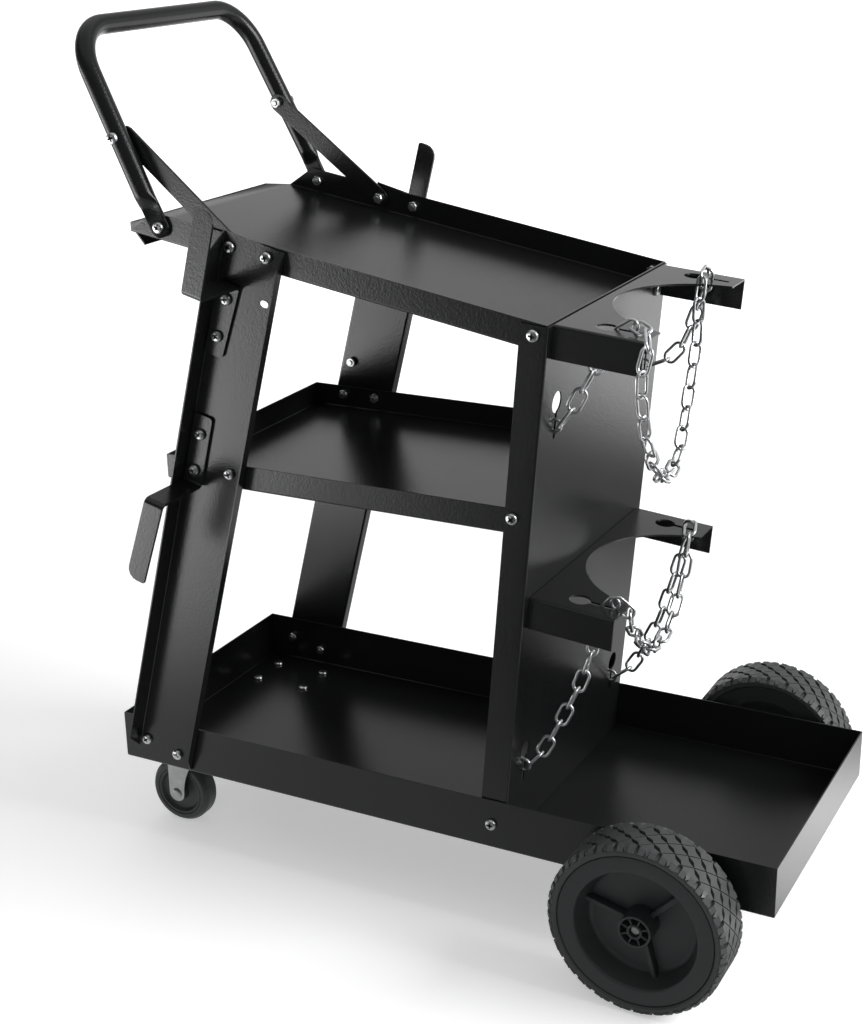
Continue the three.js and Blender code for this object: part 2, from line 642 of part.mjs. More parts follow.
// The tube is pressed flat where it is bolted to the top tray's sides.
function handle() {
  const tube = tubeAlong(new HandleLine(), TUBE, HANDLE_STEPS, TUBE_FACETS);
  const points = tube.attributes.position;
  for (let i = 0; i < points.count; i += 1) {
    const rise = points.getZ(i);
    const round = THREE.MathUtils.smoothstep(rise, FLAT_LENGTH, FLAT_LENGTH + FLAT_BLEND);
    const side = Math.sign(points.getY(i));
    const middle = THREE.MathUtils.lerp(footSide, legSide(rise), round);
    const thin = THREE.MathUtils.lerp(FLAT_THICKNESS / TUBE, 1, round);
    const wide = THREE.MathUtils.lerp(FLAT_WIDTH / TUBE, 1, round);
    const across = middle + (side * points.getY(i) - legSide(rise)) * thin;
    if (round < 1) points.setXYZ(i, points.getX(i) * wide, side * across, rise);
  }
  const half = FLAT_WIDTH / 2;
  const above = HANDLE_RISE + TUBE;
  const face = new THREE.Shape();
  face.absarc(0, 0, half, Math.PI, 2 * Math.PI);
  face.lineTo(half, above);
  face.lineTo(-half, above);
  const grip = solid(tube).intersect(prism('y', face, -BOTTOM_WIDTH, BOTTOM_WIDTH, 5));
  return drill(grip, handleFrame, ['handle_leg', 'brace']);
}

// Each brace is a flat bar inside the leg and the tray's side.
const braceTop = legSide(BRACE_RISE) - TUBE / 2 - FIT;
const traySide = upperWidth / 2 - SHEET - FIT;
const braceSpan = axes.post_top_front.clone().sub(axes.brace);
const braceSplay = (traySide - braceTop) / braceSpan.length();
const braceFoot = traySide - Math.abs(braceSplay) * BRACE_WIDTH / 2;
const braceLine = braceSpan.clone().setY(braceTop - braceFoot);
const bracePlace = new THREE.Matrix4();
{
  const along = braceLine.clone().normalize();
  const face = LEFT.clone().addScaledVector(along, -LEFT.dot(along)).normalize();
  bracePlace.makeBasis(along, face, along.clone().cross(face));
  bracePlace.setPosition(axes.brace.x, -braceTop, axes.brace.z);
}

function brace() {
  const length = braceLine.length();
  const strip = prism('y', slot(0, 0, length, 0, BRACE_WIDTH), 0, BRACE_THICKNESS, 3);
  return [0, length].reduce((rest, x) => {
    return rest.subtract(bar('y', x, 0, boltHole, -BRACE_THICKNESS, 2 * BRACE_THICKNESS, HOLE_FACETS));
  }, strip);
}

// A bolt with its nut: the head bears on the outer face and the nut on the inner face.
function bolt(outer, inner) {
  const head = -outer - FIT;
  const nut = -inner + FIT;
  return turned([
    [0, head - BOLT_HEAD_HEIGHT], [BOLT_CROWN / 2, head - BOLT_HEAD_HEIGHT],
    [BOLT_HEAD / 2, head - BOLT_RIM], [BOLT_HEAD / 2, head], [BOLT / 2, head],
    [BOLT / 2, nut], [NUT / 2, nut], [NUT / 2, nut + NUT_HEIGHT], [0, nut + NUT_HEIGHT],
  ], BOLT_FACETS);
}

function chain(route) {
  const points = route.map((point) => new THREE.Vector3(...point));
  const line = new THREE.CatmullRomCurve3(points, false, 'centripetal');
  return solid(tubeAlong(line, CHAIN, CHAIN_STEPS, CHAIN_FACETS));
}

// Rear wheels: a dished plastic hub and a tyre, on an axle strapped under the bottom tray.
const wheelInner = BOTTOM_WIDTH / 2 + WHEEL_GAP;
const wheelOuter = wheelInner + WHEEL_WIDTH;
const rimOuter = wheelOuter - RIM_INSET;
const rimInner = wheelInner + RIM_INSET;
const axlePlace = new THREE.Matrix4().makeTranslation(WHEEL_CENTRE, 0, WHEEL_DIAMETER / 2);

function hub() {
  const bore = AXLE_DIAMETER / 2 + FIT;
  const boss = HUB_BOSS / 2;
  const floor = -rimOuter + DISH_DEPTH;
  const back = floor + HUB_WEB;
  let body = turned([
    [bore, -rimOuter], [boss, -rimOuter], [boss, floor], [DISH_FLOOR / 2, floor],
    [DISH_MOUTH / 2, -rimOuter], [RIM_DIAMETER / 2, -rimOuter], [RIM_DIAMETER / 2, -rimInner],
    [DISH_MOUTH / 2, -rimInner], [DISH_FLOOR / 2, back], [boss, back], [boss, -rimInner],
    [bore, -rimInner], [bore, -rimOuter],
  ], WHEEL_FACETS);
  for (let i = 0; i < HUB_RIBS; i += 1) {
    const angle = radians(HUB_RIB_TURN) + i * 2 * Math.PI / HUB_RIBS;
    const length = DISH_FLOOR / 2 - boss + HUB_RIB;
    const rib = new THREE.BoxGeometry(length, back + rimOuter - HUB_RIB_DROP, HUB_RIB);
    rib.translate((DISH_FLOOR / 2 + boss) / 2, (back - rimOuter + HUB_RIB_DROP) / 2, 0);
    body = body.add(solid(rib.rotateY(angle)));
  }
  return body;
}

function tyre() {
  const seat = RIM_DIAMETER / 2 + FIT;
  const tread = WHEEL_DIAMETER / 2;
  const round = TYRE_SHOULDER * (1 - Math.SQRT1_2);
  return turned([
    [seat, -wheelOuter], [tread - TYRE_SHOULDER, -wheelOuter], [tread - round, -wheelOuter + round],
    [tread, -wheelOuter + TYRE_SHOULDER], [tread, -wheelInner - TYRE_SHOULDER],
    [tread - round, -wheelInner - round], [tread - TYRE_SHOULDER, -wheelInner],
    [seat, -wheelInner], [seat, -wheelOuter],
  ], WHEEL_FACETS);
}

// The axle has a collar inside each wheel and ends a little inside the hub's boss.
function rearAxle() {
  const rod = AXLE_DIAMETER / 2;
  const collar = AXLE_COLLAR / 2;
  const end = [
    [0, -rimOuter + AXLE_RECESS], [rod, -rimOuter + AXLE_RECESS],
    [rod, -rimInner + FIT], [collar, -rimInner + FIT],
    [collar, -BOTTOM_WIDTH / 2 - FIT], [rod, -BOTTOM_WIDTH / 2 - FIT],
  ];
  const otherEnd = end.map(([radius, place]) => [radius, -place]).reverse();
  return turned([...end, ...otherEnd], ROD_FACETS);
}

function axleStrap() {
  const side = AXLE_DIAMETER / 2 + FIT + STRAP_THICKNESS / 2;
  const seat = AXLE_DIAMETER / 2 - STRAP_THICKNESS / 2;
  const profile = stripOutline([
    [-side - STRAP_EAR, seat], [-side, seat], [-side, -side],
    [side, -side], [side, seat], [side + STRAP_EAR, seat],
  ], STRAP_THICKNESS, STRAP_THICKNESS / 2);
  const middle = BOTTOM_WIDTH / 2 - STRAP_INSET;
  return prism('y', profile, -middle - STRAP_WIDTH / 2, -middle + STRAP_WIDTH / 2);
}

// Casters: a bolted plate with a bearing race and a kingpin, a fork that swivels on it, and a wheel.
const casterSide = BOTTOM_WIDTH / 2 - CASTER_INSET;
const casterWheelPlace = new THREE.Matrix4()
  .makeTranslation(CASTER_CENTRE - CASTER_TRAIL, -casterSide, CASTER_WHEEL / 2);
const casterPlace = new THREE.Matrix4().makeTranslation(CASTER_CENTRE, -casterSide, 0);
const raceTop = deck - FIT - CASTER_PLATE;
const crownTop = raceTop - CASTER_RACE_HEIGHT - FIT;
const crownLow = crownTop - FORK_CROWN;
const forkInside = CASTER_HUB_LENGTH / 2 + FIT;

function casterPlate() {
  const x = CASTER_PLATE_LENGTH / 2;
  const y = CASTER_PLATE_WIDTH / 2;
  const corners = [[-x, -y], [x, -y], [x, y], [-x, y]];
  const plan = outline(corners.map((corner) => [...corner, CASTER_PLATE_CORNER]));
  const headTop = crownLow - FIT;
  return prism('z', plan, raceTop, raceTop + CASTER_PLATE)
    .add(bar('z', 0, 0, CASTER_RACE / 2, raceTop - CASTER_RACE_HEIGHT, raceTop + FIT, ROUND_FACETS))
    .add(bar('z', 0, 0, KINGPIN / 2, headTop - FIT, raceTop))
    .add(bar('z', 0, 0, KINGPIN_HEAD / 2, headTop - KINGPIN_HEAD_HEIGHT, headTop));
}

function casterFork() {
  const axle = CASTER_WHEEL / 2;
  const cheek = new THREE.Shape();
  cheek.absarc(-CASTER_TRAIL, axle, FORK_END, Math.PI, 2 * Math.PI);
  cheek.quadraticCurveTo(FORK_END - CASTER_TRAIL, (axle + crownLow) / 2, FORK_TOP_REAR, crownLow);
  cheek.lineTo(FORK_TOP_REAR, crownTop);
  cheek.lineTo(-FORK_TOP_FRONT, crownTop);
  const outside = forkInside + FORK_SHEET;
  let fork = bar('z', 0, 0, CASTER_RACE / 2, crownLow, crownTop, ROUND_FACETS)
    .add(box(-FORK_TOP_FRONT, 0, -outside, outside, crownLow, crownTop));
  for (const inner of [-outside, forkInside]) {
    fork = fork.add(prism('y', cheek, inner, inner + FORK_SHEET, FORK_FACETS));
  }
  return fork
    .subtract(bar('z', 0, 0, KINGPIN / 2 + FIT, crownLow - 1, crownTop + 1))
    .subtract(bar('y', -CASTER_TRAIL, axle, CASTER_AXLE / 2 + FIT, -outside - 1, outside + 1));
}

function casterWheel() {
  const bore = CASTER_AXLE / 2 + FIT;
  const side = CASTER_WHEEL_WIDTH / 2;
  const end = CASTER_HUB_LENGTH / 2;
  const floor = side - CASTER_DISH_DEPTH;
  const half = [
    [bore, -end], [CASTER_HUB / 2, -end], [CASTER_HUB / 2, -floor], [CASTER_DISH / 2, -floor],
    [CASTER_DISH / 2, -side], [CASTER_WHEEL / 2 - CASTER_TREAD_CORNER, -side],
    [CASTER_WHEEL / 2, -side + CASTER_TREAD_CORNER],
  ];
  const otherHalf = half.map(([radius, place]) => [radius, -place]).reverse();
  return turned([...half, ...otherHalf, half[0]], CASTER_FACETS);
}

function casterAxle() {
  const rod = CASTER_AXLE / 2;
  const head = CASTER_AXLE_HEAD / 2;
  const seat = forkInside + FORK_SHEET + FIT;
  const end = seat + CASTER_AXLE_HEAD_HEIGHT;
  const half = [[0, -end], [head, -end], [head, -seat], [rod, -seat]];
  const otherHalf = half.map(([radius, place]) => [radius, -place]).reverse();
  return turned([...half, ...otherHalf], ROD_FACETS);
}

add('bottom_tray', surface(bottomTray()), COAT, bottomFrame);
add('middle_tray', surface(middleTray()), COAT, middleFrame);
add('top_tray', surface(topTray()), COAT, topFrame);
add('rear_panel', surface(rearPanel()), COAT, panelFrame);
addPair('post', post(), COAT, postPlace);
addPair('upper_hook', hook(upperHookLine, upperHookBolt, 1, HOOK_LEG_UP), COAT, postPlace);
addPair('lower_hook', hook(hookLine, lowerHookBolt, -1, HOOK_LEG_DOWN), COAT, postPlace);
add('handle', surface(handle()), COAT, handleFrame);
addPair('brace', brace(), COAT, bracePlace);
add('upper_bracket', surface(bracket(UPPER_BRACKET)), COAT, panelFrame);
add('lower_bracket', surface(bracket(LOWER_BRACKET)), COAT, panelFrame);
add('upper_chain', surface(chain(UPPER_CHAIN_ROUTE)), ZINC, panelFrame);
add('lower_chain', surface(chain(LOWER_CHAIN_ROUTE)), ZINC, panelFrame);
addPair('caster_plate', casterPlate(), ZINC, casterPlace);
addPair('caster_fork', casterFork(), ZINC, casterPlace);
addPair('caster_wheel', casterWheel(), RUBBER, casterWheelPlace);
addPair('caster_axle', casterAxle(), ZINC, casterWheelPlace);
addPair('hub', hub(), PLASTIC, axlePlace);
addPair('tyre', tyre(), RUBBER, axlePlace);
add('rear_axle', surface(rearAxle()), ZINC, axlePlace);
addPair('axle_strap', axleStrap(), COAT, axlePlace);

// Bolts: what each one clamps, from its head's seat on the outside to its nut's seat on the inside
const bottomInner = BOTTOM_WIDTH / 2 - SHEET;
const upperInner = upperWidth / 2 - SHEET;
const hookSeat = SHEET + FIT + HOOK_THICKNESS;
const braceInner = (side) => side - BRACE_THICKNESS - FIT;
const grips = {
  post_foot_front: [webSide('post_foot_front') + SHEET, bottomInner],
  post_foot_rear: [webSide('post_foot_rear') + SHEET, bottomInner],
  post_middle: [webSide('post_middle') + SHEET, upperInner],
  post_top_front: [webSide('post_top_front') + SHEET, braceInner(braceFoot)],
  post_top_rear: [webSide('post_top_rear') + SHEET, upperInner],
  upper_hook_top: [webSide('upper_hook_top') + hookSeat, webSide('upper_hook_top')],
  upper_hook_low: [webSide('upper_hook_low') + hookSeat, webSide('upper_hook_low')],
  lower_hook_top: [webSide('lower_hook_top') + hookSeat, webSide('lower_hook_top')],
  lower_hook_low: [webSide('lower_hook_low') + hookSeat, upperInner],
  panel_foot: [BOTTOM_WIDTH / 2, panelWidth / 2 - SHEET],
  panel_middle: [panelWidth / 2, upperInner],
  panel_top: [panelWidth / 2, upperInner],
  handle_leg: [footSide + FLAT_THICKNESS / 2, upperInner],
  brace: [legSide(BRACE_RISE) + TUBE / 2, braceInner(braceTop)],
};
for (const [name, [outer, inner]] of Object.entries(grips)) {
  const place = new THREE.Matrix4().makeTranslation(axes[name].x, 0, axes[name].z);
  addPair(`${name}_bolt`, bolt(outer, inner), ZINC, place);
}

// The origin is on the floor under the middle of the cart's length.
cart.updateMatrixWorld(true);
const extent = new THREE.Box3().setFromObject(cart, true);
cart.position.x = -(extent.min.x + extent.max.x) / 2;

export default cart;
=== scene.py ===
# The looks of a welding cart: black powder-coated sheet steel, zinc chains and bolts, rubber and plastic wheels.
import json
import math

import bmesh
import bpy
from mathutils import Matrix, Vector
from mathutils.geometry import interpolate_bezier

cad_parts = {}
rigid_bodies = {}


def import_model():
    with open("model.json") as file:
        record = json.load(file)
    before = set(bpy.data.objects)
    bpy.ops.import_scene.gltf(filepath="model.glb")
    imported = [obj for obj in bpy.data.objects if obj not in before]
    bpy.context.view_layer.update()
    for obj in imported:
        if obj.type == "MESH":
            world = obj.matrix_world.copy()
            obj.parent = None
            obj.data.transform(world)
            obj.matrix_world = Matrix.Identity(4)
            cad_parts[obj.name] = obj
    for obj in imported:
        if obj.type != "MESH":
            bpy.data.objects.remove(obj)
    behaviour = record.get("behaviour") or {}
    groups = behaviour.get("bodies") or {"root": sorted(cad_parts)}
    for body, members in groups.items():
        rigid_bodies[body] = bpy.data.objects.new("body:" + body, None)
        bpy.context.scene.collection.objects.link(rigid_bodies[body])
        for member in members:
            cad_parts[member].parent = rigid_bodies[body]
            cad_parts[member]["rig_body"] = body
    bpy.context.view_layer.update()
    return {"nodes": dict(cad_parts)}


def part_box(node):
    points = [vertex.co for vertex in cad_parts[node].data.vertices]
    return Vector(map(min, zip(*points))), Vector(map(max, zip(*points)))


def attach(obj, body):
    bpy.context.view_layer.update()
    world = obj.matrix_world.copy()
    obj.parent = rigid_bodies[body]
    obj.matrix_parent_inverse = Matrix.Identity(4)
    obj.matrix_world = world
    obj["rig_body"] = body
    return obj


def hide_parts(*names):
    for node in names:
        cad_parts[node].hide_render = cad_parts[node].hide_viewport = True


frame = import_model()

scene = bpy.context.scene
MM = 0.001
TURN = 2 * math.pi
ACROSS = Vector((0, 1, 0))
UP = Vector((0, 0, 1))

# The photograph's view
CAMERA_PLACE = (0.75157, -1.5266, 1.0105)
CAMERA_AZIMUTH = math.radians(27.916)
CAMERA_ELEVATION = math.radians(20.012)
CAMERA_ROLL = math.radians(-1.057)
CAMERA_LENS = 61.15

# The leaning rear panel that the chains and brackets are measured from
PANEL_FOOT = Vector((0.09527, 0, 0.0942))
PANEL_LEAN = math.radians(4.93)
PANEL_PLACE = Matrix.Translation(PANEL_FOOT) @ Matrix.Rotation(PANEL_LEAN, 4, "Y")

# Chain routes: distance behind the panel, distance to the left, height along the panel
UPPER_CHAIN_ROUTE = [
    (-0.009, -0.115, 0.441), (0.003, -0.115, 0.440), (0.011, -0.115, 0.449), (0.019, -0.115, 0.468),
    (0.035, -0.115, 0.505), (0.045, -0.115, 0.526), (0.052, -0.115, 0.536), (0.056, -0.115, 0.545),
    (0.061, -0.115, 0.550), (0.068, -0.117, 0.551), (0.077, -0.122, 0.550), (0.085, -0.130, 0.5495),
    (0.0915, -0.1395, 0.547), (0.093, -0.147, 0.538), (0.091, -0.1495, 0.512), (0.0955, -0.139, 0.464),
    (0.098, -0.1225, 0.436), (0.097, -0.096, 0.4115), (0.093, -0.068, 0.396), (0.0895, -0.040, 0.388),
    (0.085, -0.008, 0.390), (0.081, 0.014, 0.403), (0.076, 0.034, 0.423), (0.069, 0.061, 0.464),
    (0.066, 0.073, 0.485), (0.062, 0.081, 0.512), (0.060, 0.083, 0.533), (0.059, 0.086, 0.546),
    (0.058, 0.092, 0.551), (0.057, 0.101, 0.5525), (0.0565, 0.109, 0.5525), (0.056, 0.114, 0.5495),
    (0.0555, 0.115, 0.543), (0.054, 0.115, 0.531), (0.050, 0.115, 0.5125), (0.040, 0.115, 0.4765),
    (0.0315, 0.115, 0.4605), (0.0195, 0.115, 0.449), (0.0065, 0.115, 0.4425), (-0.009, 0.115, 0.441),
]
LOWER_CHAIN_ROUTE = [
    (-0.009, -0.115, 0.080), (0.004, -0.115, 0.080), (0.014, -0.115, 0.092), (0.026, -0.115, 0.119),
    (0.046, -0.115, 0.172), (0.054, -0.115, 0.200), (0.060, -0.115, 0.225), (0.064, -0.115, 0.250),
    (0.066, -0.115, 0.265), (0.068, -0.115, 0.276), (0.072, -0.115, 0.281), (0.079, -0.114, 0.282),
    (0.086, -0.1125, 0.281), (0.091, -0.111, 0.276), (0.092, -0.108, 0.264), (0.0915, -0.099, 0.252),
    (0.091, -0.084, 0.238), (0.090, -0.060, 0.218), (0.088, -0.032, 0.200), (0.086, -0.002, 0.191),
    (0.084, 0.024, 0.191), (0.082, 0.048, 0.199), (0.080, 0.066, 0.212), (0.079, 0.079, 0.230),
    (0.078, 0.086, 0.250), (0.0775, 0.089, 0.266), (0.077, 0.092, 0.278), (0.075, 0.099, 0.283),
    (0.072, 0.107, 0.284), (0.070, 0.1135, 0.2815), (0.069, 0.115, 0.275), (0.0665, 0.115, 0.256),
    (0.063, 0.115, 0.237), (0.0585, 0.115, 0.214), (0.0485, 0.115, 0.164), (0.040, 0.115, 0.139),
    (0.031, 0.115, 0.115), (0.021, 0.115, 0.096), (0.009, 0.115, 0.082), (-0.009, 0.115, 0.080),
]
LINKS = 37
LINK_WIRE = 3.1 * MM
LINK_WIDTH = 15.5 * MM
LINK_OVERHANG = 8 * MM
TWIST_FROM = 0.32
TWIST_TO = 0.68

# Handle, in its own leaning plane above the leg bolts
HANDLE_LEAN = math.radians(-26.9)
HANDLE_TUBE = 20 * MM
HANDLE_RISE = 208 * MM
HANDLE_BEND = 48.8 * MM
HANDLE_TAPER = math.radians(2.7)
HANDLE_SIDE = 153.7 * MM
FLAT_SIDE = 151.7 * MM
FLAT_RISE = 20 * MM
FLAT_BLEND = 16 * MM
FLAT_WIDTH = 21 * MM
FLAT_THICKNESS = 5 * MM
FLAT_EDGE = 2.2
FLAT_TURN = 0.12
FLAT_DENT = 1.3 * MM

# Top tray: its slope, and how far its front fold is drawn out to the cut corners
TOP_TILT = math.radians(9.74)
FOLD_DRAW = 3.2 * MM
FOLD_DEPTH = 10 * MM

# Bolts
BOLT = 6 * MM
BOLT_HEAD = 12 * MM
BOLT_HEAD_HEIGHT = 4 * MM
NUT_FLATS = 10 * MM
NUT_HEIGHT = 5 * MM
CASTER_BOLT_PLACES = [(-32, -23), (32, -23), (32, 23), (-32, 23)]
BRACKET_SCREW_SIDE = 117 * MM
BRACKET_SCREW_DROP = 22 * MM
BRACKET_HEIGHTS = {"upper": 543.3 * MM, "lower": 274.5 * MM}

# Studio: how bright the floor's painted glow, the painted reflection of the floor and the sky are
FLOOR_REACH = 40
FLOOR_GLOW = 0.37
FLOOR_GLOW_AFAR = 0.9
CARD_BEHIND = 0.55
CARD_BESIDE = 1.5
CARD_FRONT = 0.06
CARD_NEAR = 0.4
CARD_LEFT = 5.2
CARD_HALF_LEFT = 0.8
SKY_OVERHEAD = 0.5
SKY_FRONT = 0.12
SKY_BEHIND = 0.78

# Wheels
HUB_RIB_TURN = math.radians(46)
HUB_RIB_HEIGHT = 9 * MM
POCKET_DEPTH = 8 * MM
TREAD_PITCHES = 26
TREAD_ROWS = 3
TREAD_DEPTH = 3.2 * MM
TREAD_SHOULDER = 3.5 * MM
LUG_LENGTH = 9 * MM


class Wire:
    """A node's output that takes part in sums: each operator adds a Math node."""

    def __init__(self, finish, socket):
        self.finish = finish
        self.socket = socket

    def combine(self, operation, first, second):
        return self.finish.node("Math", {"operation": operation}, {0: first, 1: second})

    def __add__(self, other):
        return self.combine("ADD", self, other)

    def __sub__(self, other):
        return self.combine("SUBTRACT", self, other)

    def __rsub__(self, other):
        return self.combine("SUBTRACT", other, self)

    def __mul__(self, other):
        return self.combine("MULTIPLY", self, other)

    def __pow__(self, other):
        return self.combine("POWER", self, other)

    __radd__ = __add__
    __rmul__ = __mul__


class Nodes:
    """Nodes of one tree, each made from its type, its settings and its sockets."""

    def __init__(self, tree):
        self.tree = tree

    def node(self, kind, settings=None, sockets=None, out=0):
        made = self.tree.nodes.new("ShaderNode" + kind)
        for name, value in (settings or {}).items():
            if name == "stops":
                for element, (position, shade) in zip(made.color_ramp.elements, value):
                    element.position = position
                    element.color = (shade, shade, shade, 1)
            else:
                setattr(made, name, value)
        self.feed(made, sockets or {})
        return Wire(self, made.outputs[out])

    def feed(self, node, sockets):
        for name, value in sockets.items():
            if isinstance(value, Wire):
                self.tree.links.new(value.socket, node.inputs[name])
            else:
                node.inputs[name].default_value = value

    def ramp(self, value, start, end, low, high):
        sockets = {"Value": value, "From Min": start, "From Max": end, "To Min": low, "To Max": high}
        return self.node("MapRange", {"interpolation_type": "SMOOTHSTEP"}, sockets)

    def part(self, vector, axis):
        return self.node("SeparateXYZ", sockets={0: vector}, out=axis)


class Finish(Nodes):
    """A material whose pattern is made of nodes on the piece's own coordinates."""

    def __init__(self, name):
        self.material = bpy.data.materials.new(name)
        self.material.use_nodes = True
        super().__init__(self.material.node_tree)
        self.shader = self.tree.nodes["Principled BSDF"]
        self.place = self.node("TexCoord", out="Object")

    def noise(self, scale, detail=2.0, roughness=0.5):
        sockets = {"Vector": self.place, "Scale": scale, "Detail": detail, "Roughness": roughness}
        return self.node("TexNoise", sockets=sockets, out=0)

    def between(self, mask, low, high):
        return self.node("Mix", {"data_type": "RGBA"}, {0: mask, 6: (*low, 1), 7: (*high, 1)}, out=2)

    def bump(self, height, strength, distance):
        sockets = {"Height": height, "Strength": strength, "Distance": distance}
        return self.node("Bump", sockets=sockets)

    def surface(self, **sockets):
        names = {name: name.replace("_", " ").title().replace("Ior", "IOR") for name in sockets}
        self.feed(self.shader, {names[name]: value for name, value in sockets.items()})
        return self.material


def powder_coat(name, gloss):
    finish = Finish(name)
    cloud = finish.noise(9, 3)
    peel = finish.noise(500, 2.5, 0.5)
    grain = finish.noise(1500, 1)
    height = peel + grain * 0.25
    return finish.surface(
        base_color=finish.between(cloud, (0.0052, 0.0055, 0.0058), (0.0070, 0.0073, 0.0076)),
        roughness=0.16 + cloud * 0.04 + grain * 0.06,
        specular_ior_level=gloss,
        normal=finish.bump(height, 0.31, 0.5 * MM),
    )


def bright_zinc():
    finish = Finish("bright_zinc")
    cloud = finish.noise(160, 3)
    scratch = finish.noise(900, 2)
    return finish.surface(
        base_color=finish.between(cloud, (0.52, 0.53, 0.54), (0.72, 0.73, 0.74)),
        metallic=1.0,
        roughness=0.24 + cloud * 0.14,
        normal=finish.bump(scratch, 0.12, 0.2 * MM),
    )


def dull_zinc():
    finish = Finish("dull_zinc")
    cloud = finish.noise(70, 4, 0.6)
    grain = finish.noise(700, 2)
    return finish.surface(
        base_color=finish.between(cloud, (0.26, 0.27, 0.27), (0.47, 0.48, 0.48)),
        metallic=1.0,
        roughness=0.3 + cloud * 0.14,
        normal=finish.bump(grain, 0.12, 0.2 * MM),
    )


def moulded_plastic():
    finish = Finish("moulded_plastic")
    cloud = finish.noise(14, 3)
    grain = finish.noise(1100, 2)
    return finish.surface(
        base_color=finish.between(cloud, (0.0130, 0.0157, 0.0162), (0.0175, 0.0202, 0.0207)),
        roughness=0.44 + cloud * 0.1,
        normal=finish.bump(grain, 0.12, 0.3 * MM),
    )


def tyre_rubber():
    finish = Finish("tyre_rubber")
    cloud = finish.noise(22, 3)
    grain = finish.noise(800, 3)
    return finish.surface(
        base_color=finish.between(cloud, (0.020, 0.0215, 0.022), (0.033, 0.0345, 0.035)),
        roughness=0.5 + cloud * 0.14,
        normal=finish.bump(grain, 0.2, 0.4 * MM),
    )


def worn_tread():
    finish = Finish("worn_tread")
    cloud = finish.noise(30, 4, 0.6)
    grain = finish.noise(600, 3)
    return finish.surface(
        base_color=finish.between(cloud, (0.033, 0.035, 0.0355), (0.053, 0.055, 0.0555)),
        roughness=0.36 + cloud * 0.16,
        normal=finish.bump(grain, 0.25, 0.4 * MM),
    )


COAT = powder_coat("powder_coat", 0.5)
TUBE_COAT = powder_coat("tube_coat", 0.3)
ZINC = bright_zinc()
FORK_ZINC = dull_zinc()
PLASTIC = moulded_plastic()
RUBBER = tyre_rubber()
TREAD = worn_tread()


def piece(name, bm, body, finish, slot, *nodes, smooth=math.radians(40)):
    """Turns a bmesh into an object that rides on a body and may stand for CAD nodes."""
    mesh = bpy.data.meshes.new(name)
    bm.to_mesh(mesh)
    bm.free()
    mesh.materials.append(finish)
    mesh.shade_smooth()
    mesh.set_sharp_from_angle(angle=smooth)
    made = bpy.data.objects.new(name, mesh)
    scene.collection.objects.link(made)
    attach(made, body)
    if nodes:
        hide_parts(*nodes)
    return made


def body_of(node):
    return frame["nodes"][node]["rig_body"]


def middle(node):
    low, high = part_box(node)
    return (low + high) / 2


def close(bm):
    bmesh.ops.remove_doubles(bm, verts=bm.verts, dist=0.002 * MM)
    bmesh.ops.recalc_face_normals(bm, faces=bm.faces)


def between(verts):
    """The edges whose ends are both among some vertices."""
    inside = set(verts)
    return list({edge for vert in verts for edge in vert.link_edges if edge.other_vert(vert) in inside})


def loop(bm, height, reach, count=24):
    """A closed loop at a height, whose distance from the axis may depend on the angle."""
    made = bmesh.ops.create_circle(bm, cap_ends=False, radius=1, segments=count)["verts"]
    for vert in made:
        far = reach(math.atan2(vert.co.y, vert.co.x)) if callable(reach) else reach
        vert.co = Vector((vert.co.x * far, vert.co.y * far, height))
    return made


def loft(bm, loops):
    """A closed skin through loops of equal count."""
    for low, high in zip(loops, loops[1:]):
        bmesh.ops.bridge_loops(bm, edges=between(low) + between(high))
    for end in (loops[0], loops[-1]):
        bmesh.ops.contextual_create(bm, geom=between(end))


def rounded(corners, steps=4):
    """A line through corners, each of them across, along and the radius of its round."""
    points = []
    for i, (across, along, radius) in enumerate(corners):
        corner = Vector((across, along))
        if radius == 0 or i in (0, len(corners) - 1):
            points.append(corner)
            continue
        before = (Vector(corners[i - 1][:2]) - corner).normalized()
        after = (Vector(corners[i + 1][:2]) - corner).normalized()
        half = before.angle(after) / 2
        centre = corner + (before + after).normalized() * radius / math.sin(half)
        start = corner + before * radius / math.tan(half) - centre
        sweep = start.angle_signed(corner + after * radius / math.tan(half) - centre)
        for step in range(steps + 1):
            points.append(centre + Matrix.Rotation(-sweep * step / steps, 2) @ start)
    return points


def lathe(bm, profile, steps, place):
    """Spins a profile of radius and place about Y, and closes it."""
    verts = [bm.verts.new((radius, along, 0)) for radius, along in profile]
    edges = [bm.edges.new(pair) for pair in zip(verts, verts[1:])]
    bmesh.ops.spin(
        bm, geom=verts + edges, cent=(0, 0, 0), axis=ACROSS, angle=TURN, steps=steps, use_merge=True
    )
    close(bm)
    bmesh.ops.translate(bm, verts=bm.verts, vec=place)


def sweep(bm, stations, radius, sides):
    """A round bar through stations, each a matrix whose Z runs along the bar."""
    ring = bmesh.ops.create_circle(bm, cap_ends=True, radius=radius, segments=sides, matrix=stations[0])["verts"]
    edges = between(ring)
    for last, here in zip(stations, stations[1:]):
        made = bmesh.ops.extrude_edge_only(bm, edges=edges)["geom"]
        ring = [item for item in made if isinstance(item, bmesh.types.BMVert)]
        bmesh.ops.transform(bm, matrix=here @ last.inverted(), verts=ring)
        edges = between(ring)
    bmesh.ops.contextual_create(bm, geom=edges)


# Camera
back = Vector((
    math.sin(CAMERA_AZIMUTH) * math.cos(CAMERA_ELEVATION),
    -math.cos(CAMERA_AZIMUTH) * math.cos(CAMERA_ELEVATION),
    math.sin(CAMERA_ELEVATION),
))
camera = bpy.data.objects.new("camera", bpy.data.cameras.new("camera"))
camera.data.lens = CAMERA_LENS
camera.data.sensor_width = 36
level = (-back).to_track_quat("-Z", "Y").to_matrix().to_4x4()
camera.matrix_world = Matrix.Translation(CAMERA_PLACE) @ level @ Matrix.Rotation(CAMERA_ROLL, 4, "Z")
scene.collection.objects.link(camera)
scene.camera = camera


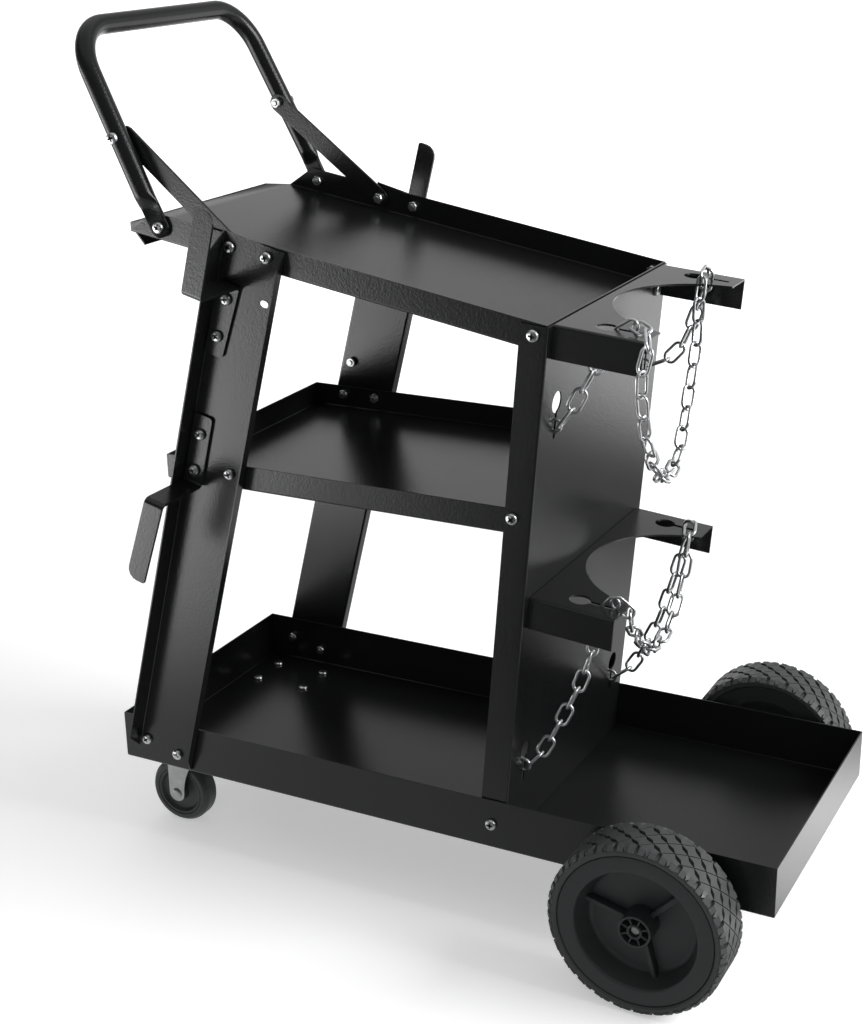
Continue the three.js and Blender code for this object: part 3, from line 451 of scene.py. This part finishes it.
# Chains
def smooth_line(points, steps=12):
    """Points close together along a curve through some points."""
    ends = [points[0] * 2 - points[1], *points, points[-1] * 2 - points[-2]]
    line = []
    for before, start, end, after in zip(ends, ends[1:], ends[2:], ends[3:]):
        line += interpolate_bezier(start, start + (end - before) / 6, end - (after - start) / 6, end, steps)[:-1]
    return [*line, points[-1]]


def link_shape(length):
    """One chain link, lying along X with its width along Y."""
    bm = bmesh.new()
    bend = (LINK_WIDTH - LINK_WIRE) / 2
    half = (length + 2 * LINK_WIRE - LINK_WIDTH) / 2
    ring = bmesh.ops.create_circle(
        bm, cap_ends=False, radius=LINK_WIRE / 2, segments=10,
        matrix=Matrix.Translation((half, -bend, 0)) @ Matrix.Rotation(TURN / 4, 4, "Y"),
    )["verts"]
    for end in (half, -half):
        turned = bmesh.ops.spin(
            bm, geom=ring + between(ring), cent=(end, 0, 0), axis=UP, angle=TURN / 2, steps=9
        )["geom_last"]
        made = bmesh.ops.extrude_edge_only(bm, edges=[x for x in turned if isinstance(x, bmesh.types.BMEdge)])
        ring = [item for item in made["geom"] if isinstance(item, bmesh.types.BMVert)]
        bmesh.ops.translate(bm, verts=ring, vec=(-2 * end, 0, 0))
    close(bm)
    mesh = bpy.data.meshes.new("link")
    bm.to_mesh(mesh)
    bm.free()
    return mesh


def chain(name, route):
    points = [PANEL_PLACE @ Vector(point) for point in route]
    line = smooth_line(points)
    along = [0.0]
    for start, end in zip(line, line[1:]):
        along.append(along[-1] + (end - start).length)
    length = along[-1]
    pitch = (length + 2 * LINK_OVERHANG) / LINKS

    def at(distance):
        if distance <= 0:
            return line[0] + (line[1] - line[0]).normalized() * distance
        if distance >= length:
            return line[-1] + (line[-1] - line[-2]).normalized() * (distance - length)
        i = next(k for k, far in enumerate(along) if far >= distance)
        share = (distance - along[i - 1]) / (along[i] - along[i - 1])
        return line[i - 1].lerp(line[i], share)

    joints = [at(i * pitch - LINK_OVERHANG) for i in range(LINKS + 1)]
    panel_up = PANEL_PLACE.to_3x3() @ UP
    side = panel_up
    frames = []
    for start, end in zip(joints, joints[1:]):
        ahead = (end - start).normalized()
        side = (side - ahead * side.dot(ahead)).normalized()
        frames.append(((start + end) / 2, ahead, side))
    _, ahead, side = frames[-1]
    wanted = (panel_up - ahead * panel_up.dot(ahead)).normalized()
    turn = math.atan2(side.cross(wanted).dot(ahead), side.dot(wanted))
    turn = (turn + TURN / 4) % (TURN / 2) - TURN / 4

    shape = link_shape(pitch)
    bm = bmesh.new()
    for i, (centre, ahead, side) in enumerate(frames):
        share = min(max(((i + 0.5) / LINKS - TWIST_FROM) / (TWIST_TO - TWIST_FROM), 0), 1)
        roll = Matrix.Rotation(turn * share + (i % 2) * TURN / 4, 3, ahead)
        width = roll @ side
        place = Matrix((ahead, width, ahead.cross(width))).transposed().to_4x4()
        place.translation = centre
        count = len(bm.verts)
        bm.from_mesh(shape)
        bm.verts.ensure_lookup_table()
        bmesh.ops.transform(bm, matrix=place, verts=bm.verts[count:])
    made = piece(name + "_links", bm, "cart", ZINC, "zinc", name)
    path = [at(-LINK_OVERHANG), *line, at(length + LINK_OVERHANG)]


chain("upper_chain", UPPER_CHAIN_ROUTE)
chain("lower_chain", LOWER_CHAIN_ROUTE)


# Folded sheet: each plate takes the CAD solid's shape and gets its edges rounded
def draw_front_fold(bm):
    """Brings the top tray's front fold out to the ends of its cut corners."""
    slope = Vector((math.cos(TOP_TILT), 0, -math.sin(TOP_TILT)))
    corner = min(bm.verts, key=lambda vert: vert.co.dot(slope)).co.copy()
    front = corner.dot(slope) + FOLD_DRAW
    cut = bmesh.ops.bisect_plane(
        bm, geom=[*bm.verts, *bm.edges, *bm.faces], dist=0.01 * MM, plane_co=slope * front, plane_no=slope,
        clear_inner=True,
    )["geom_cut"]
    bmesh.ops.holes_fill(bm, edges=[item for item in cut if isinstance(item, bmesh.types.BMEdge)])
    for vert in bm.verts:
        share = 1 - (vert.co.dot(slope) - front) / FOLD_DEPTH
        if share > 0:
            vert.co -= slope * FOLD_DRAW * share
            if share > 0.95:
                vert.co.y = min(max(vert.co.y, -abs(corner.y)), abs(corner.y))


def folded(node, finish, slot, edge=0.35 * MM):
    bm = bmesh.new()
    bm.from_mesh(frame["nodes"][node].data)
    bmesh.ops.remove_doubles(bm, verts=bm.verts, dist=0.01 * MM)
    if node == "top_tray":
        draw_front_fold(bm)
    bmesh.ops.dissolve_limit(bm, angle_limit=math.radians(1), verts=bm.verts, edges=bm.edges)
    sharp = [item for item in bm.edges if item.calc_face_angle(0) > math.radians(50)]
    bmesh.ops.bevel(
        bm, geom=sharp, offset=edge, segments=2, profile=0.5, affect="EDGES", material=-1, clamp_overlap=True
    )
    bmesh.ops.recalc_face_normals(bm, faces=bm.faces)
    sheet = piece(node + "_sheet", bm, body_of(node), finish, slot, node)
    shading = sheet.modifiers.new("flat_faces", "WEIGHTED_NORMAL")
    shading.keep_sharp = True
    shading.weight = 100
    return sheet


SIDES = {"right": -1, "left": 1}
for plate in ("bottom_tray", "middle_tray", "top_tray", "rear_panel", "upper_bracket", "lower_bracket"):
    folded(plate, COAT, "coat")
for side_name in SIDES:
    for plate in ("post", "upper_hook", "lower_hook", "brace", "axle_strap"):
        folded(f"{side_name}_{plate}", COAT, "coat")
    for plate in ("caster_plate", "caster_fork"):
        folded(f"{side_name}_{plate}", FORK_ZINC, "zinc")


# Handle
def handle():
    leg_bolt = middle("right_handle_leg_bolt")
    place = Matrix.Translation((leg_bolt.x, 0, leg_bolt.z)) @ Matrix.Rotation(HANDLE_LEAN, 4, "Y")
    hub = HANDLE_RISE - HANDLE_BEND

    def leg_side(rise):
        return HANDLE_SIDE - max(rise - FLAT_RISE, 0) * math.tan(HANDLE_TAPER)

    inward = (HANDLE_BEND + (hub - FLAT_RISE) * math.sin(HANDLE_TAPER)) / math.cos(HANDLE_TAPER)
    corner = HANDLE_SIDE - inward
    foot = FLAT_WIDTH / 2
    rises = [-foot * math.cos(i * TURN / 32) for i in range(8)]
    rises += [i * 2.5 * MM for i in range(18)] + [(50 + 15 * i) * MM for i in range(7)]
    half = [(-leg_side(rise), rise) for rise in rises]
    for i in range(15):
        angle = TURN / 2 - HANDLE_TAPER - (TURN / 4 - HANDLE_TAPER) * i / 14
        half.append((-corner + HANDLE_BEND * math.cos(angle), hub + HANDLE_BEND * math.sin(angle)))
    line = [Vector((0, across, rise)) for across, rise in half]
    line += [Vector((0, i * corner / 3, HANDLE_RISE)) for i in (-2, -1, 0, 1, 2)]
    line += [Vector((0, -across, rise)) for across, rise in reversed(half)]
    stations = []
    for i, point in enumerate(line):
        ahead = (line[min(i + 1, len(line) - 1)] - line[max(i - 1, 0)]).normalized()
        axes = Matrix((Vector((1, 0, 0)), ahead.cross(Vector((1, 0, 0))), ahead)).transposed().to_4x4()
        stations.append(Matrix.Translation(point) @ axes)
    bm = bmesh.new()
    sweep(bm, stations, HANDLE_TUBE / 2, 28)
    for vert in bm.verts:
        rise = vert.co.z
        share = min(max((rise - FLAT_RISE) / FLAT_BLEND, 0), 1)
        share = share * share * (3 - 2 * share)
        if share < 1:
            side = math.copysign(1, vert.co.y)
            proud = abs(vert.co.y) - leg_side(rise)
            flat = min(max(FLAT_EDGE * proud / HANDLE_TUBE, -0.5), 0.5) * FLAT_THICKNESS
            if proud > 0:
                dent = math.exp(-((rise - FLAT_RISE) / (8 * MM)) ** 2) * (1 - (2 * vert.co.x / HANDLE_TUBE) ** 2)
                flat -= FLAT_TURN * vert.co.x + FLAT_DENT * dent
            across = (FLAT_SIDE + flat) * (1 - share) + (leg_side(rise) + proud) * share
            wide = FLAT_WIDTH / HANDLE_TUBE * (1 - share) + share
            end = math.sqrt(max(1 - (min(rise, 0) / foot) ** 2, 0.0004))
            vert.co = Vector((vert.co.x * wide * end, side * across, rise))
    bmesh.ops.recalc_face_normals(bm, faces=bm.faces)
    bmesh.ops.transform(bm, matrix=place, verts=bm.verts)
    piece("handle_tube", bm, "cart", TUBE_COAT, "coat", "handle")


handle()


# Bolts: a cross-recessed pan head, a shank and a hexagon nut in one skin
def cross(reach, slot):
    def far(angle):
        turn = abs((angle + TURN / 8) % (TURN / 4) - TURN / 8)
        return min(reach / math.cos(turn), slot / max(math.sin(turn), 1e-6))
    return far


def hexagon(flats):
    def far(angle):
        turn = (angle + TURN / 12) % (TURN / 6) - TURN / 12
        return flats / 2 / math.cos(turn)
    return far


def bolt(bm, place, grip, nut=True):
    """A bolt whose head's seat is at the place, with its head along the place's Z."""
    before = len(bm.verts)
    head = BOLT_HEAD / 2
    top = BOLT_HEAD_HEIGHT
    loops = [
        loop(bm, top * 0.42, cross(2.3 * MM, 0.5 * MM)), loop(bm, top, cross(3.3 * MM, 0.95 * MM)),
        loop(bm, top, head * 0.64), loop(bm, top * 0.88, head * 0.82), loop(bm, top * 0.64, head * 0.95),
        loop(bm, top * 0.35, head), loop(bm, 0, head), loop(bm, 0, BOLT / 2), loop(bm, -grip, BOLT / 2),
    ]
    if nut:
        nut_end = -grip - NUT_HEIGHT
        loops += [
            loop(bm, -grip, NUT_FLATS * 0.48), loop(bm, -grip - 0.6 * MM, hexagon(NUT_FLATS)),
            loop(bm, nut_end + 0.8 * MM, hexagon(NUT_FLATS)), loop(bm, nut_end, NUT_FLATS * 0.46),
            loop(bm, nut_end, BOLT / 2), loop(bm, nut_end - 1.0 * MM, BOLT / 2),
            loop(bm, nut_end - 1.6 * MM, BOLT * 0.38),
        ]
    loft(bm, loops)
    bm.verts.ensure_lookup_table()
    made = bm.verts[before:]
    bmesh.ops.transform(bm, matrix=place, verts=made)


def finish_bolts(name, bm, body, *nodes):
    bmesh.ops.recalc_face_normals(bm, faces=bm.faces)
    piece(name, bm, body, ZINC, "zinc", *nodes)


BOLT_FIT = 0.3 * MM
bolt_nodes = [node for node in frame["nodes"] if node.endswith("_bolt")]
for number, node in enumerate(bolt_nodes):
    low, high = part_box(node)
    side = SIDES[node.split("_")[0]]
    outer = max(abs(low.y), abs(high.y)) - BOLT_HEAD_HEIGHT
    inner = min(abs(low.y), abs(high.y)) + NUT_HEIGHT
    centre = (low + high) / 2
    place = Matrix.Translation((centre.x, side * outer, centre.z))
    place @= Matrix.Rotation(-side * TURN / 4, 4, "X") @ Matrix.Rotation(number * 0.7, 4, "Z")
    bolts = bmesh.new()
    bolt(bolts, place, outer - inner)
    finish_bolts(node + "_cross", bolts, "cart", node)

for side_name in SIDES:
    plate_low, plate_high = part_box(f"{side_name}_caster_plate")
    centre = (plate_low + plate_high) / 2
    floor_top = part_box("bottom_tray")[0].z + 1.5 * MM
    bolts = bmesh.new()
    for number, (x, y) in enumerate(CASTER_BOLT_PLACES):
        place = Matrix.Translation((centre.x + x * MM, centre.y + y * MM, floor_top + BOLT_FIT))
        place @= Matrix.Rotation(number * 0.9, 4, "Z") @ Matrix.Diagonal((0.9, 0.9, 0.65, 1))
        bolt(bolts, place, (floor_top - plate_high.z + 3 * MM) / 0.65)
    finish_bolts(f"{side_name}_caster_screws", bolts, "cart")

for which, height in BRACKET_HEIGHTS.items():
    bolts = bmesh.new()
    for side in SIDES.values():
        local = Matrix.Translation((2.6 * MM, side * BRACKET_SCREW_SIDE, height - BRACKET_SCREW_DROP))
        bolt(bolts, PANEL_PLACE @ local @ Matrix.Rotation(TURN / 4, 4, "Y"), 4.4 * MM)
    finish_bolts(f"{which}_bracket_screws", bolts, "cart")


# Rear wheels
def hub(side_name, side):
    node = f"{side_name}_hub"
    low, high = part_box(node)
    centre = (low + high) / 2
    radius = (high.x - low.x) / 2
    half = (high.y - low.y) / 2
    depth = 24 * MM
    web = 5 * MM
    mouth = 61.5 * MM
    floor = 54 * MM
    boss = 16.5 * MM
    pocket = 14.2 * MM
    sleeve = 7.6 * MM
    bore = 5.3 * MM
    face = -half
    profile = rounded([
        (boss - 1 * MM, face + depth, 0), (boss, face + depth, 0), (floor, face + depth, 5 * MM),
        (mouth, face, 3 * MM), (radius - 0.7 * MM, face, 0.4 * MM), (radius, face + 0.8 * MM, 0.3 * MM),
        (radius, -face, 1 * MM), (mouth, -face, 2 * MM), (floor, face + depth + web, 3 * MM),
        (boss - 1 * MM, face + depth + web, 0),
    ])
    bm = bmesh.new()
    lathe(bm, [*profile, profile[0]], 96, (0, 0, 0))
    for inner, outer, near, far, steps in (
        (pocket, boss, face, -face, 64), (bore, sleeve, face, -face, 48),
        (sleeve - 1 * MM, pocket + 1 * MM, face + POCKET_DEPTH, face + depth, 48),
    ):
        ring = bmesh.new()
        wall = rounded([(inner, far, 0), (inner, near, 0.5 * MM), (outer, near, 0.7 * MM), (outer, far, 0)])
        lathe(ring, [*wall, wall[0]], steps, (0, 0, 0))
        mesh = bpy.data.meshes.new("ring")
        ring.to_mesh(mesh)
        ring.free()
        bm.from_mesh(mesh)
    for i in range(8):
        spoke = (sleeve - 0.8 * MM, pocket + 0.8 * MM)
        block(bm, spoke, (face + 0.8 * MM, face + POCKET_DEPTH + 1 * MM), 1.7 * MM, (i + 0.5) * TURN / 8, 1)
    for i in range(3):
        spoke = (boss - 1 * MM, floor + 3 * MM)
        rib = (face + depth - HUB_RIB_HEIGHT, face + depth + 1 * MM)
        block(bm, spoke, rib, 6 * MM, HUB_RIB_TURN + i * TURN / 3, 0.75)
    if side > 0:
        bmesh.ops.scale(bm, vec=(1, -1, 1), verts=bm.verts)
        bmesh.ops.reverse_faces(bm, faces=bm.faces)
    bmesh.ops.translate(bm, verts=bm.verts, vec=centre)
    piece(node + "_moulding", bm, body_of(node), PLASTIC, "hub", node)


def block(bm, reach, depth, width, angle, top):
    """A rib along a spoke of the hub, narrower at its outer face."""
    size = Vector((reach[1] - reach[0], depth[1] - depth[0], width))
    place = Matrix.Translation(((reach[0] + reach[1]) / 2, (depth[0] + depth[1]) / 2, 0))
    made = bmesh.ops.create_cube(bm, size=1, matrix=place @ Matrix.Diagonal((*size, 1)))["verts"]
    for vert in made:
        if vert.co.y < (depth[0] + depth[1]) / 2:
            vert.co.z *= top
    edges = between(made)
    made = bmesh.ops.bevel(
        bm, geom=edges, offset=0.5 * MM, segments=2, profile=0.5, affect="EDGES", material=-1, clamp_overlap=True
    )["verts"]
    bmesh.ops.rotate(bm, cent=(0, 0, 0), matrix=Matrix.Rotation(-angle, 3, "Y"), verts=made)


def tyre(side_name):
    node = f"{side_name}_tyre"
    low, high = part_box(node)
    centre = (low + high) / 2
    radius = (high.x - low.x) / 2
    half = (high.y - low.y) / 2
    seat = 78.3 * MM
    base = radius - TREAD_DEPTH
    wall = half - 0.3 * MM
    bm = bmesh.new()
    profile = rounded([
        (seat, -wall + 3 * MM, 0), (seat + 0.4 * MM, -wall + 1.6 * MM, 0.6 * MM), (seat + 2.2 * MM, -wall, 1.2 * MM),
        (base, -wall, TREAD_SHOULDER), (base, wall, TREAD_SHOULDER), (seat + 2.2 * MM, wall, 1.2 * MM),
        (seat + 0.4 * MM, wall - 1.6 * MM, 0.6 * MM), (seat, wall - 3 * MM, 0),
    ], 6)
    lathe(bm, [*profile, profile[0]], 132, (0, 0, 0))
    bmesh.ops.translate(bm, verts=bm.verts, vec=centre)
    piece(node + "_carcass", bm, body_of(node), RUBBER, "tyre", node, smooth=math.radians(30))
    row = wall / TREAD_ROWS
    blocks = bmesh.new()
    pitch = TURN / TREAD_PITCHES
    for k in range(1 - TREAD_ROWS, TREAD_ROWS):
        for i in range(TREAD_PITCHES):
            tread_block(blocks, diamond, base, wall, (i + 0.5 * (k % 2)) * pitch, k * row, pitch / 2, row)
    for shoulder in (-wall + LUG_LENGTH / 2, wall - LUG_LENGTH / 2):
        for i in range(2 * TREAD_PITCHES):
            tread_block(blocks, lug, base, wall, (i + 0.5) * pitch / 2, shoulder, pitch / 4, LUG_LENGTH / 2)
    bmesh.ops.translate(blocks, verts=blocks.verts, vec=centre)
    piece(node + "_tread", blocks, body_of(node), TREAD, "tyre", smooth=math.radians(30))


def diamond(x, y, shrink):
    """A point of a diamond whose two falling sides are drawn in, so that slits open beside it."""
    reach = max(abs(x) + abs(y), 1)
    rising, falling = (x + y) / reach, (x - y) / reach
    falling *= shrink if abs(rising) < 0.5 else 0.94
    return (0.93 * rising + falling) / 2, (0.93 * rising - falling) / 2


def lug(x, y, shrink):
    """A point of a square lug, with gaps before and after it."""
    reach = max(abs(x), abs(y), 0.7)
    return x / reach * shrink * 0.9, y / reach


def tread_block(bm, outline, base, wall, angle, across, half_pitch, half_row):
    """One block of the tread, wrapped round the tyre and over its shoulder."""
    flat = bmesh.ops.create_circle(bm, cap_ends=True, cap_tris=True, radius=1, segments=8)["verts"]
    faces = list({face for vert in flat for face in vert.link_faces})
    sides = bmesh.ops.extrude_face_region(bm, geom=faces)["geom"]
    raised = [item for item in sides if isinstance(item, bmesh.types.BMVert)]
    straight = wall - TREAD_SHOULDER
    for verts, shrink, height in ((flat, 0.8, -1 * MM), (raised, 0.62, TREAD_DEPTH)):
        for vert in verts:
            x, y = outline(vert.co.x, vert.co.y, shrink)
            turn = angle + x * half_pitch
            place = across + y * half_row
            over = max(abs(place) - straight, 0) / TREAD_SHOULDER
            rise = TREAD_SHOULDER + height * max(1 - 0.5 * over, 0.2)
            far = base - TREAD_SHOULDER + rise * math.cos(over)
            side = abs(place) if over == 0 else straight + rise * math.sin(over)
            vert.co = Vector((far * math.cos(turn), math.copysign(side, place), far * math.sin(turn)))
    bmesh.ops.recalc_face_normals(bm, faces=list({item for vert in [*flat, *raised] for item in vert.link_faces}))


for side_name, side in SIDES.items():
    hub(side_name, side)
    tyre(side_name)


# Rear axle, casters
def rear_axle():
    low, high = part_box("rear_axle")
    reach = high.y
    rod = 5 * MM
    collar = 9 * MM
    inner, outer = 152.8 * MM, 171.2 * MM
    end = [
        (0, -reach, 0), (rod - 1 * MM, -reach, 0.4 * MM), (rod, -reach + 1 * MM, 0.4 * MM), (rod, -outer, 0),
        (collar, -outer, 0.6 * MM), (collar, -inner, 0.6 * MM), (rod, -inner, 0),
    ]
    other = [(across, -along, round_off) for across, along, round_off in reversed(end)]
    profile = rounded([*end, *other])
    bm = bmesh.new()
    lathe(bm, profile, 32, middle("rear_axle"))
    piece("rear_axle_rod", bm, "cart", FORK_ZINC, "zinc", "rear_axle")


def caster_wheel(side_name):
    node = f"{side_name}_caster_wheel"
    low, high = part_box(node)
    radius = (high.x - low.x) / 2
    end = (high.y - low.y) / 2
    half = 12 * MM
    bore = 4.3 * MM
    right = [
        (bore, -end, 0), (9 * MM, -end, 0.8 * MM), (10.5 * MM, -half + 5 * MM, 1.5 * MM), (23 * MM, -half + 5 * MM, 2 * MM),
        (25.5 * MM, -half + 0.4 * MM, 0.8 * MM), (27.5 * MM, -half + 0.4 * MM, 0.5 * MM), (28.2 * MM, -half + 1.4 * MM, 0.4 * MM),
        (29 * MM, -half, 0.5 * MM), (radius - 3.5 * MM, -half, 3 * MM), (radius, -half + 5 * MM, 4 * MM), (radius, 0, 0),
    ]
    left = [(across, -along, round_off) for across, along, round_off in reversed(right[:-1])]
    profile = rounded([*right, *left])
    bm = bmesh.new()
    lathe(bm, [*profile, profile[0]], 72, middle(node))
    piece(node + "_turned", bm, body_of(node), PLASTIC, "caster", node)


def caster_axle(side_name):
    node = f"{side_name}_caster_axle"
    low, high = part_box(node)
    end = (high.y - low.y) / 2
    seat = end - 4 * MM
    right = [
        (0, -seat - 2.2 * MM, 0), (4.2 * MM, -seat - 2 * MM, 1.5 * MM), (6 * MM, -seat - 0.8 * MM, 0.5 * MM), (6 * MM, -seat, 0), (4 * MM, -seat, 0),
    ]
    left = [(across, -along, round_off) for across, along, round_off in reversed(right)]
    bm = bmesh.new()
    lathe(bm, rounded([*right, *left]), 32, middle(node))
    piece(node + "_rivet", bm, body_of(node), FORK_ZINC, "zinc", node)


rear_axle()
for side_name in SIDES:
    caster_wheel(side_name)
    caster_axle(side_name)


# Floor and light: the floor that is seen, and a card in its place that only lights the gloss, as a painted
# reflection of the floor
def stage(name, bm, finish):
    mesh = bpy.data.meshes.new(name)
    bm.to_mesh(mesh)
    bm.free()
    mesh.materials.append(finish)
    made = bpy.data.objects.new(name, mesh)
    scene.collection.objects.link(made)
    return made


def flat_stage(name, level, finish):
    bm = bmesh.new()
    bmesh.ops.create_grid(bm, x_segments=1, y_segments=1, size=FLOOR_REACH)
    bmesh.ops.translate(bm, verts=bm.verts, vec=(0, 0, level))
    return stage(name, bm, finish)


def pale_floor():
    finish = Finish("pale_floor")
    cloud = finish.noise(0.7, 2)
    # The floor glows as painted light: weakly within 0.9 m of the middle, where the cart's shadows fall, rising to a
    # stronger glow by 3 m out.
    away = finish.node("VectorMath", {"operation": "LENGTH"}, {0: finish.place}, out="Value")
    floor = flat_stage("floor", 0, finish.surface(
        base_color=finish.between(cloud, (0.86, 0.86, 0.86), (0.88, 0.88, 0.88)), roughness=0.9,
        emission_color=finish.ramp(away, 0.9, 3.0, FLOOR_GLOW, FLOOR_GLOW_AFAR), emission_strength=1.0,
    ))
    floor.visible_glossy = False


def gloss_card():
    finish = Finish("gloss_card")
    x = finish.part(finish.place, "X")
    y = finish.part(finish.place, "Y")
    # Painted reflection of a lit floor from 0.3 m behind the cart; shade paints a shadow band in it about 1 m
    # behind, and a brighter floor past 1.6 m.
    behind = finish.ramp(y, 0.05, 0.3, 0.0, CARD_BEHIND)
    shade = finish.ramp(y, 0.6, 1.0, 1.0, 0.28) + finish.ramp(y, 1.1, 1.6, 0.0, 2.8)
    # Painted reflection of a bright floor just past the cart's rear end.
    beside = finish.ramp(x, 0.36, 0.41, 0.0, CARD_BESIDE) * finish.ramp(y, 0.2, 0.5, 1.0, 0.0)
    # In front of the cart: to_left paints a bright reflected patch far to the front left, and to_front paints the
    # floor ahead dark in reflections, darkest past 0.75 m, as painted shade.
    in_front = finish.ramp(y, -0.1, 0.1, 1.0, 0.0)
    left = y * 0.55 - x
    half_left = finish.ramp(left, -0.25, -0.05, 0.0, CARD_HALF_LEFT) * finish.ramp(y, -2.9, -1.9, 0.1, 1.0)
    full_left = finish.ramp(left, 0.0, 0.65, 0.0, CARD_LEFT) * finish.ramp(y, -3.7, -2.6, 0.3, 1.0)
    to_left = (half_left + full_left) * finish.ramp(y, -0.85, -0.4, 1.0, 0.1)
    to_front = finish.ramp(y, -0.75, -0.35, CARD_FRONT, CARD_NEAR)
    glow = behind * shade + beside * (1 - in_front) + in_front * (to_left + to_front)
    card = flat_stage("gloss_card", -2 * MM, finish.surface(
        base_color=(0, 0, 0, 1), roughness=1.0, emission_color=glow, emission_strength=1.0,
    ))
    card.visible_camera = False
    card.visible_diffuse = False
    card.visible_shadow = False


def backdrop():
    bm = bmesh.new()
    bmesh.ops.create_icosphere(bm, subdivisions=4, radius=FLOOR_REACH * 0.98)
    bmesh.ops.reverse_faces(bm, faces=bm.faces)
    finish = Finish("backdrop")
    dome = stage("backdrop", bm, finish.surface(
        base_color=(0, 0, 0, 1), roughness=1.0, emission_color=(1, 1, 1, 1), emission_strength=1.0,
    ))
    dome.visible_diffuse = False
    dome.visible_glossy = False
    dome.visible_shadow = False


def softbox(name, place, target, size, power):
    light = bpy.data.lights.new(name, "AREA")
    light.shape = "RECTANGLE"
    light.size, light.size_y = size
    light.energy = power
    lamp = bpy.data.objects.new(name, light)
    lamp.location = place
    lamp.rotation_euler = (Vector(place) - Vector(target)).to_track_quat("Z", "Y").to_euler()
    scene.collection.objects.link(lamp)
    return lamp


def sky():
    world = bpy.data.worlds.new("studio")
    scene.world = world
    world.use_nodes = True
    nodes = Nodes(world.node_tree)
    towards = nodes.node("TexCoord", out="Generated")
    overhead = nodes.ramp(nodes.part(towards, "Z"), 0.5, 0.85, 0.0, SKY_OVERHEAD)
    height = nodes.part(towards, "Z")
    around = nodes.ramp(nodes.part(towards, "Y"), -0.2, 0.7, SKY_FRONT, SKY_BEHIND)
    around = around * nodes.ramp(height, 0.3, 0.52, 1.0, 0.5)
    nodes.feed(world.node_tree.nodes["Background"], {"Color": (1, 1, 1, 1), "Strength": around + overhead})


pale_floor()
gloss_card()
backdrop()
sky()
softbox("right_softbox", (2.8, 0.5, 1.9), (0.0, 0.0, 0.2), (1.8, 1.8), 110)
softbox("front_softbox", (0.4, -3.0, 0.9), (0.0, 0.0, 0.4), (2.0, 1.0), 24).visible_glossy = False
scene.view_settings.view_transform = "Standard"
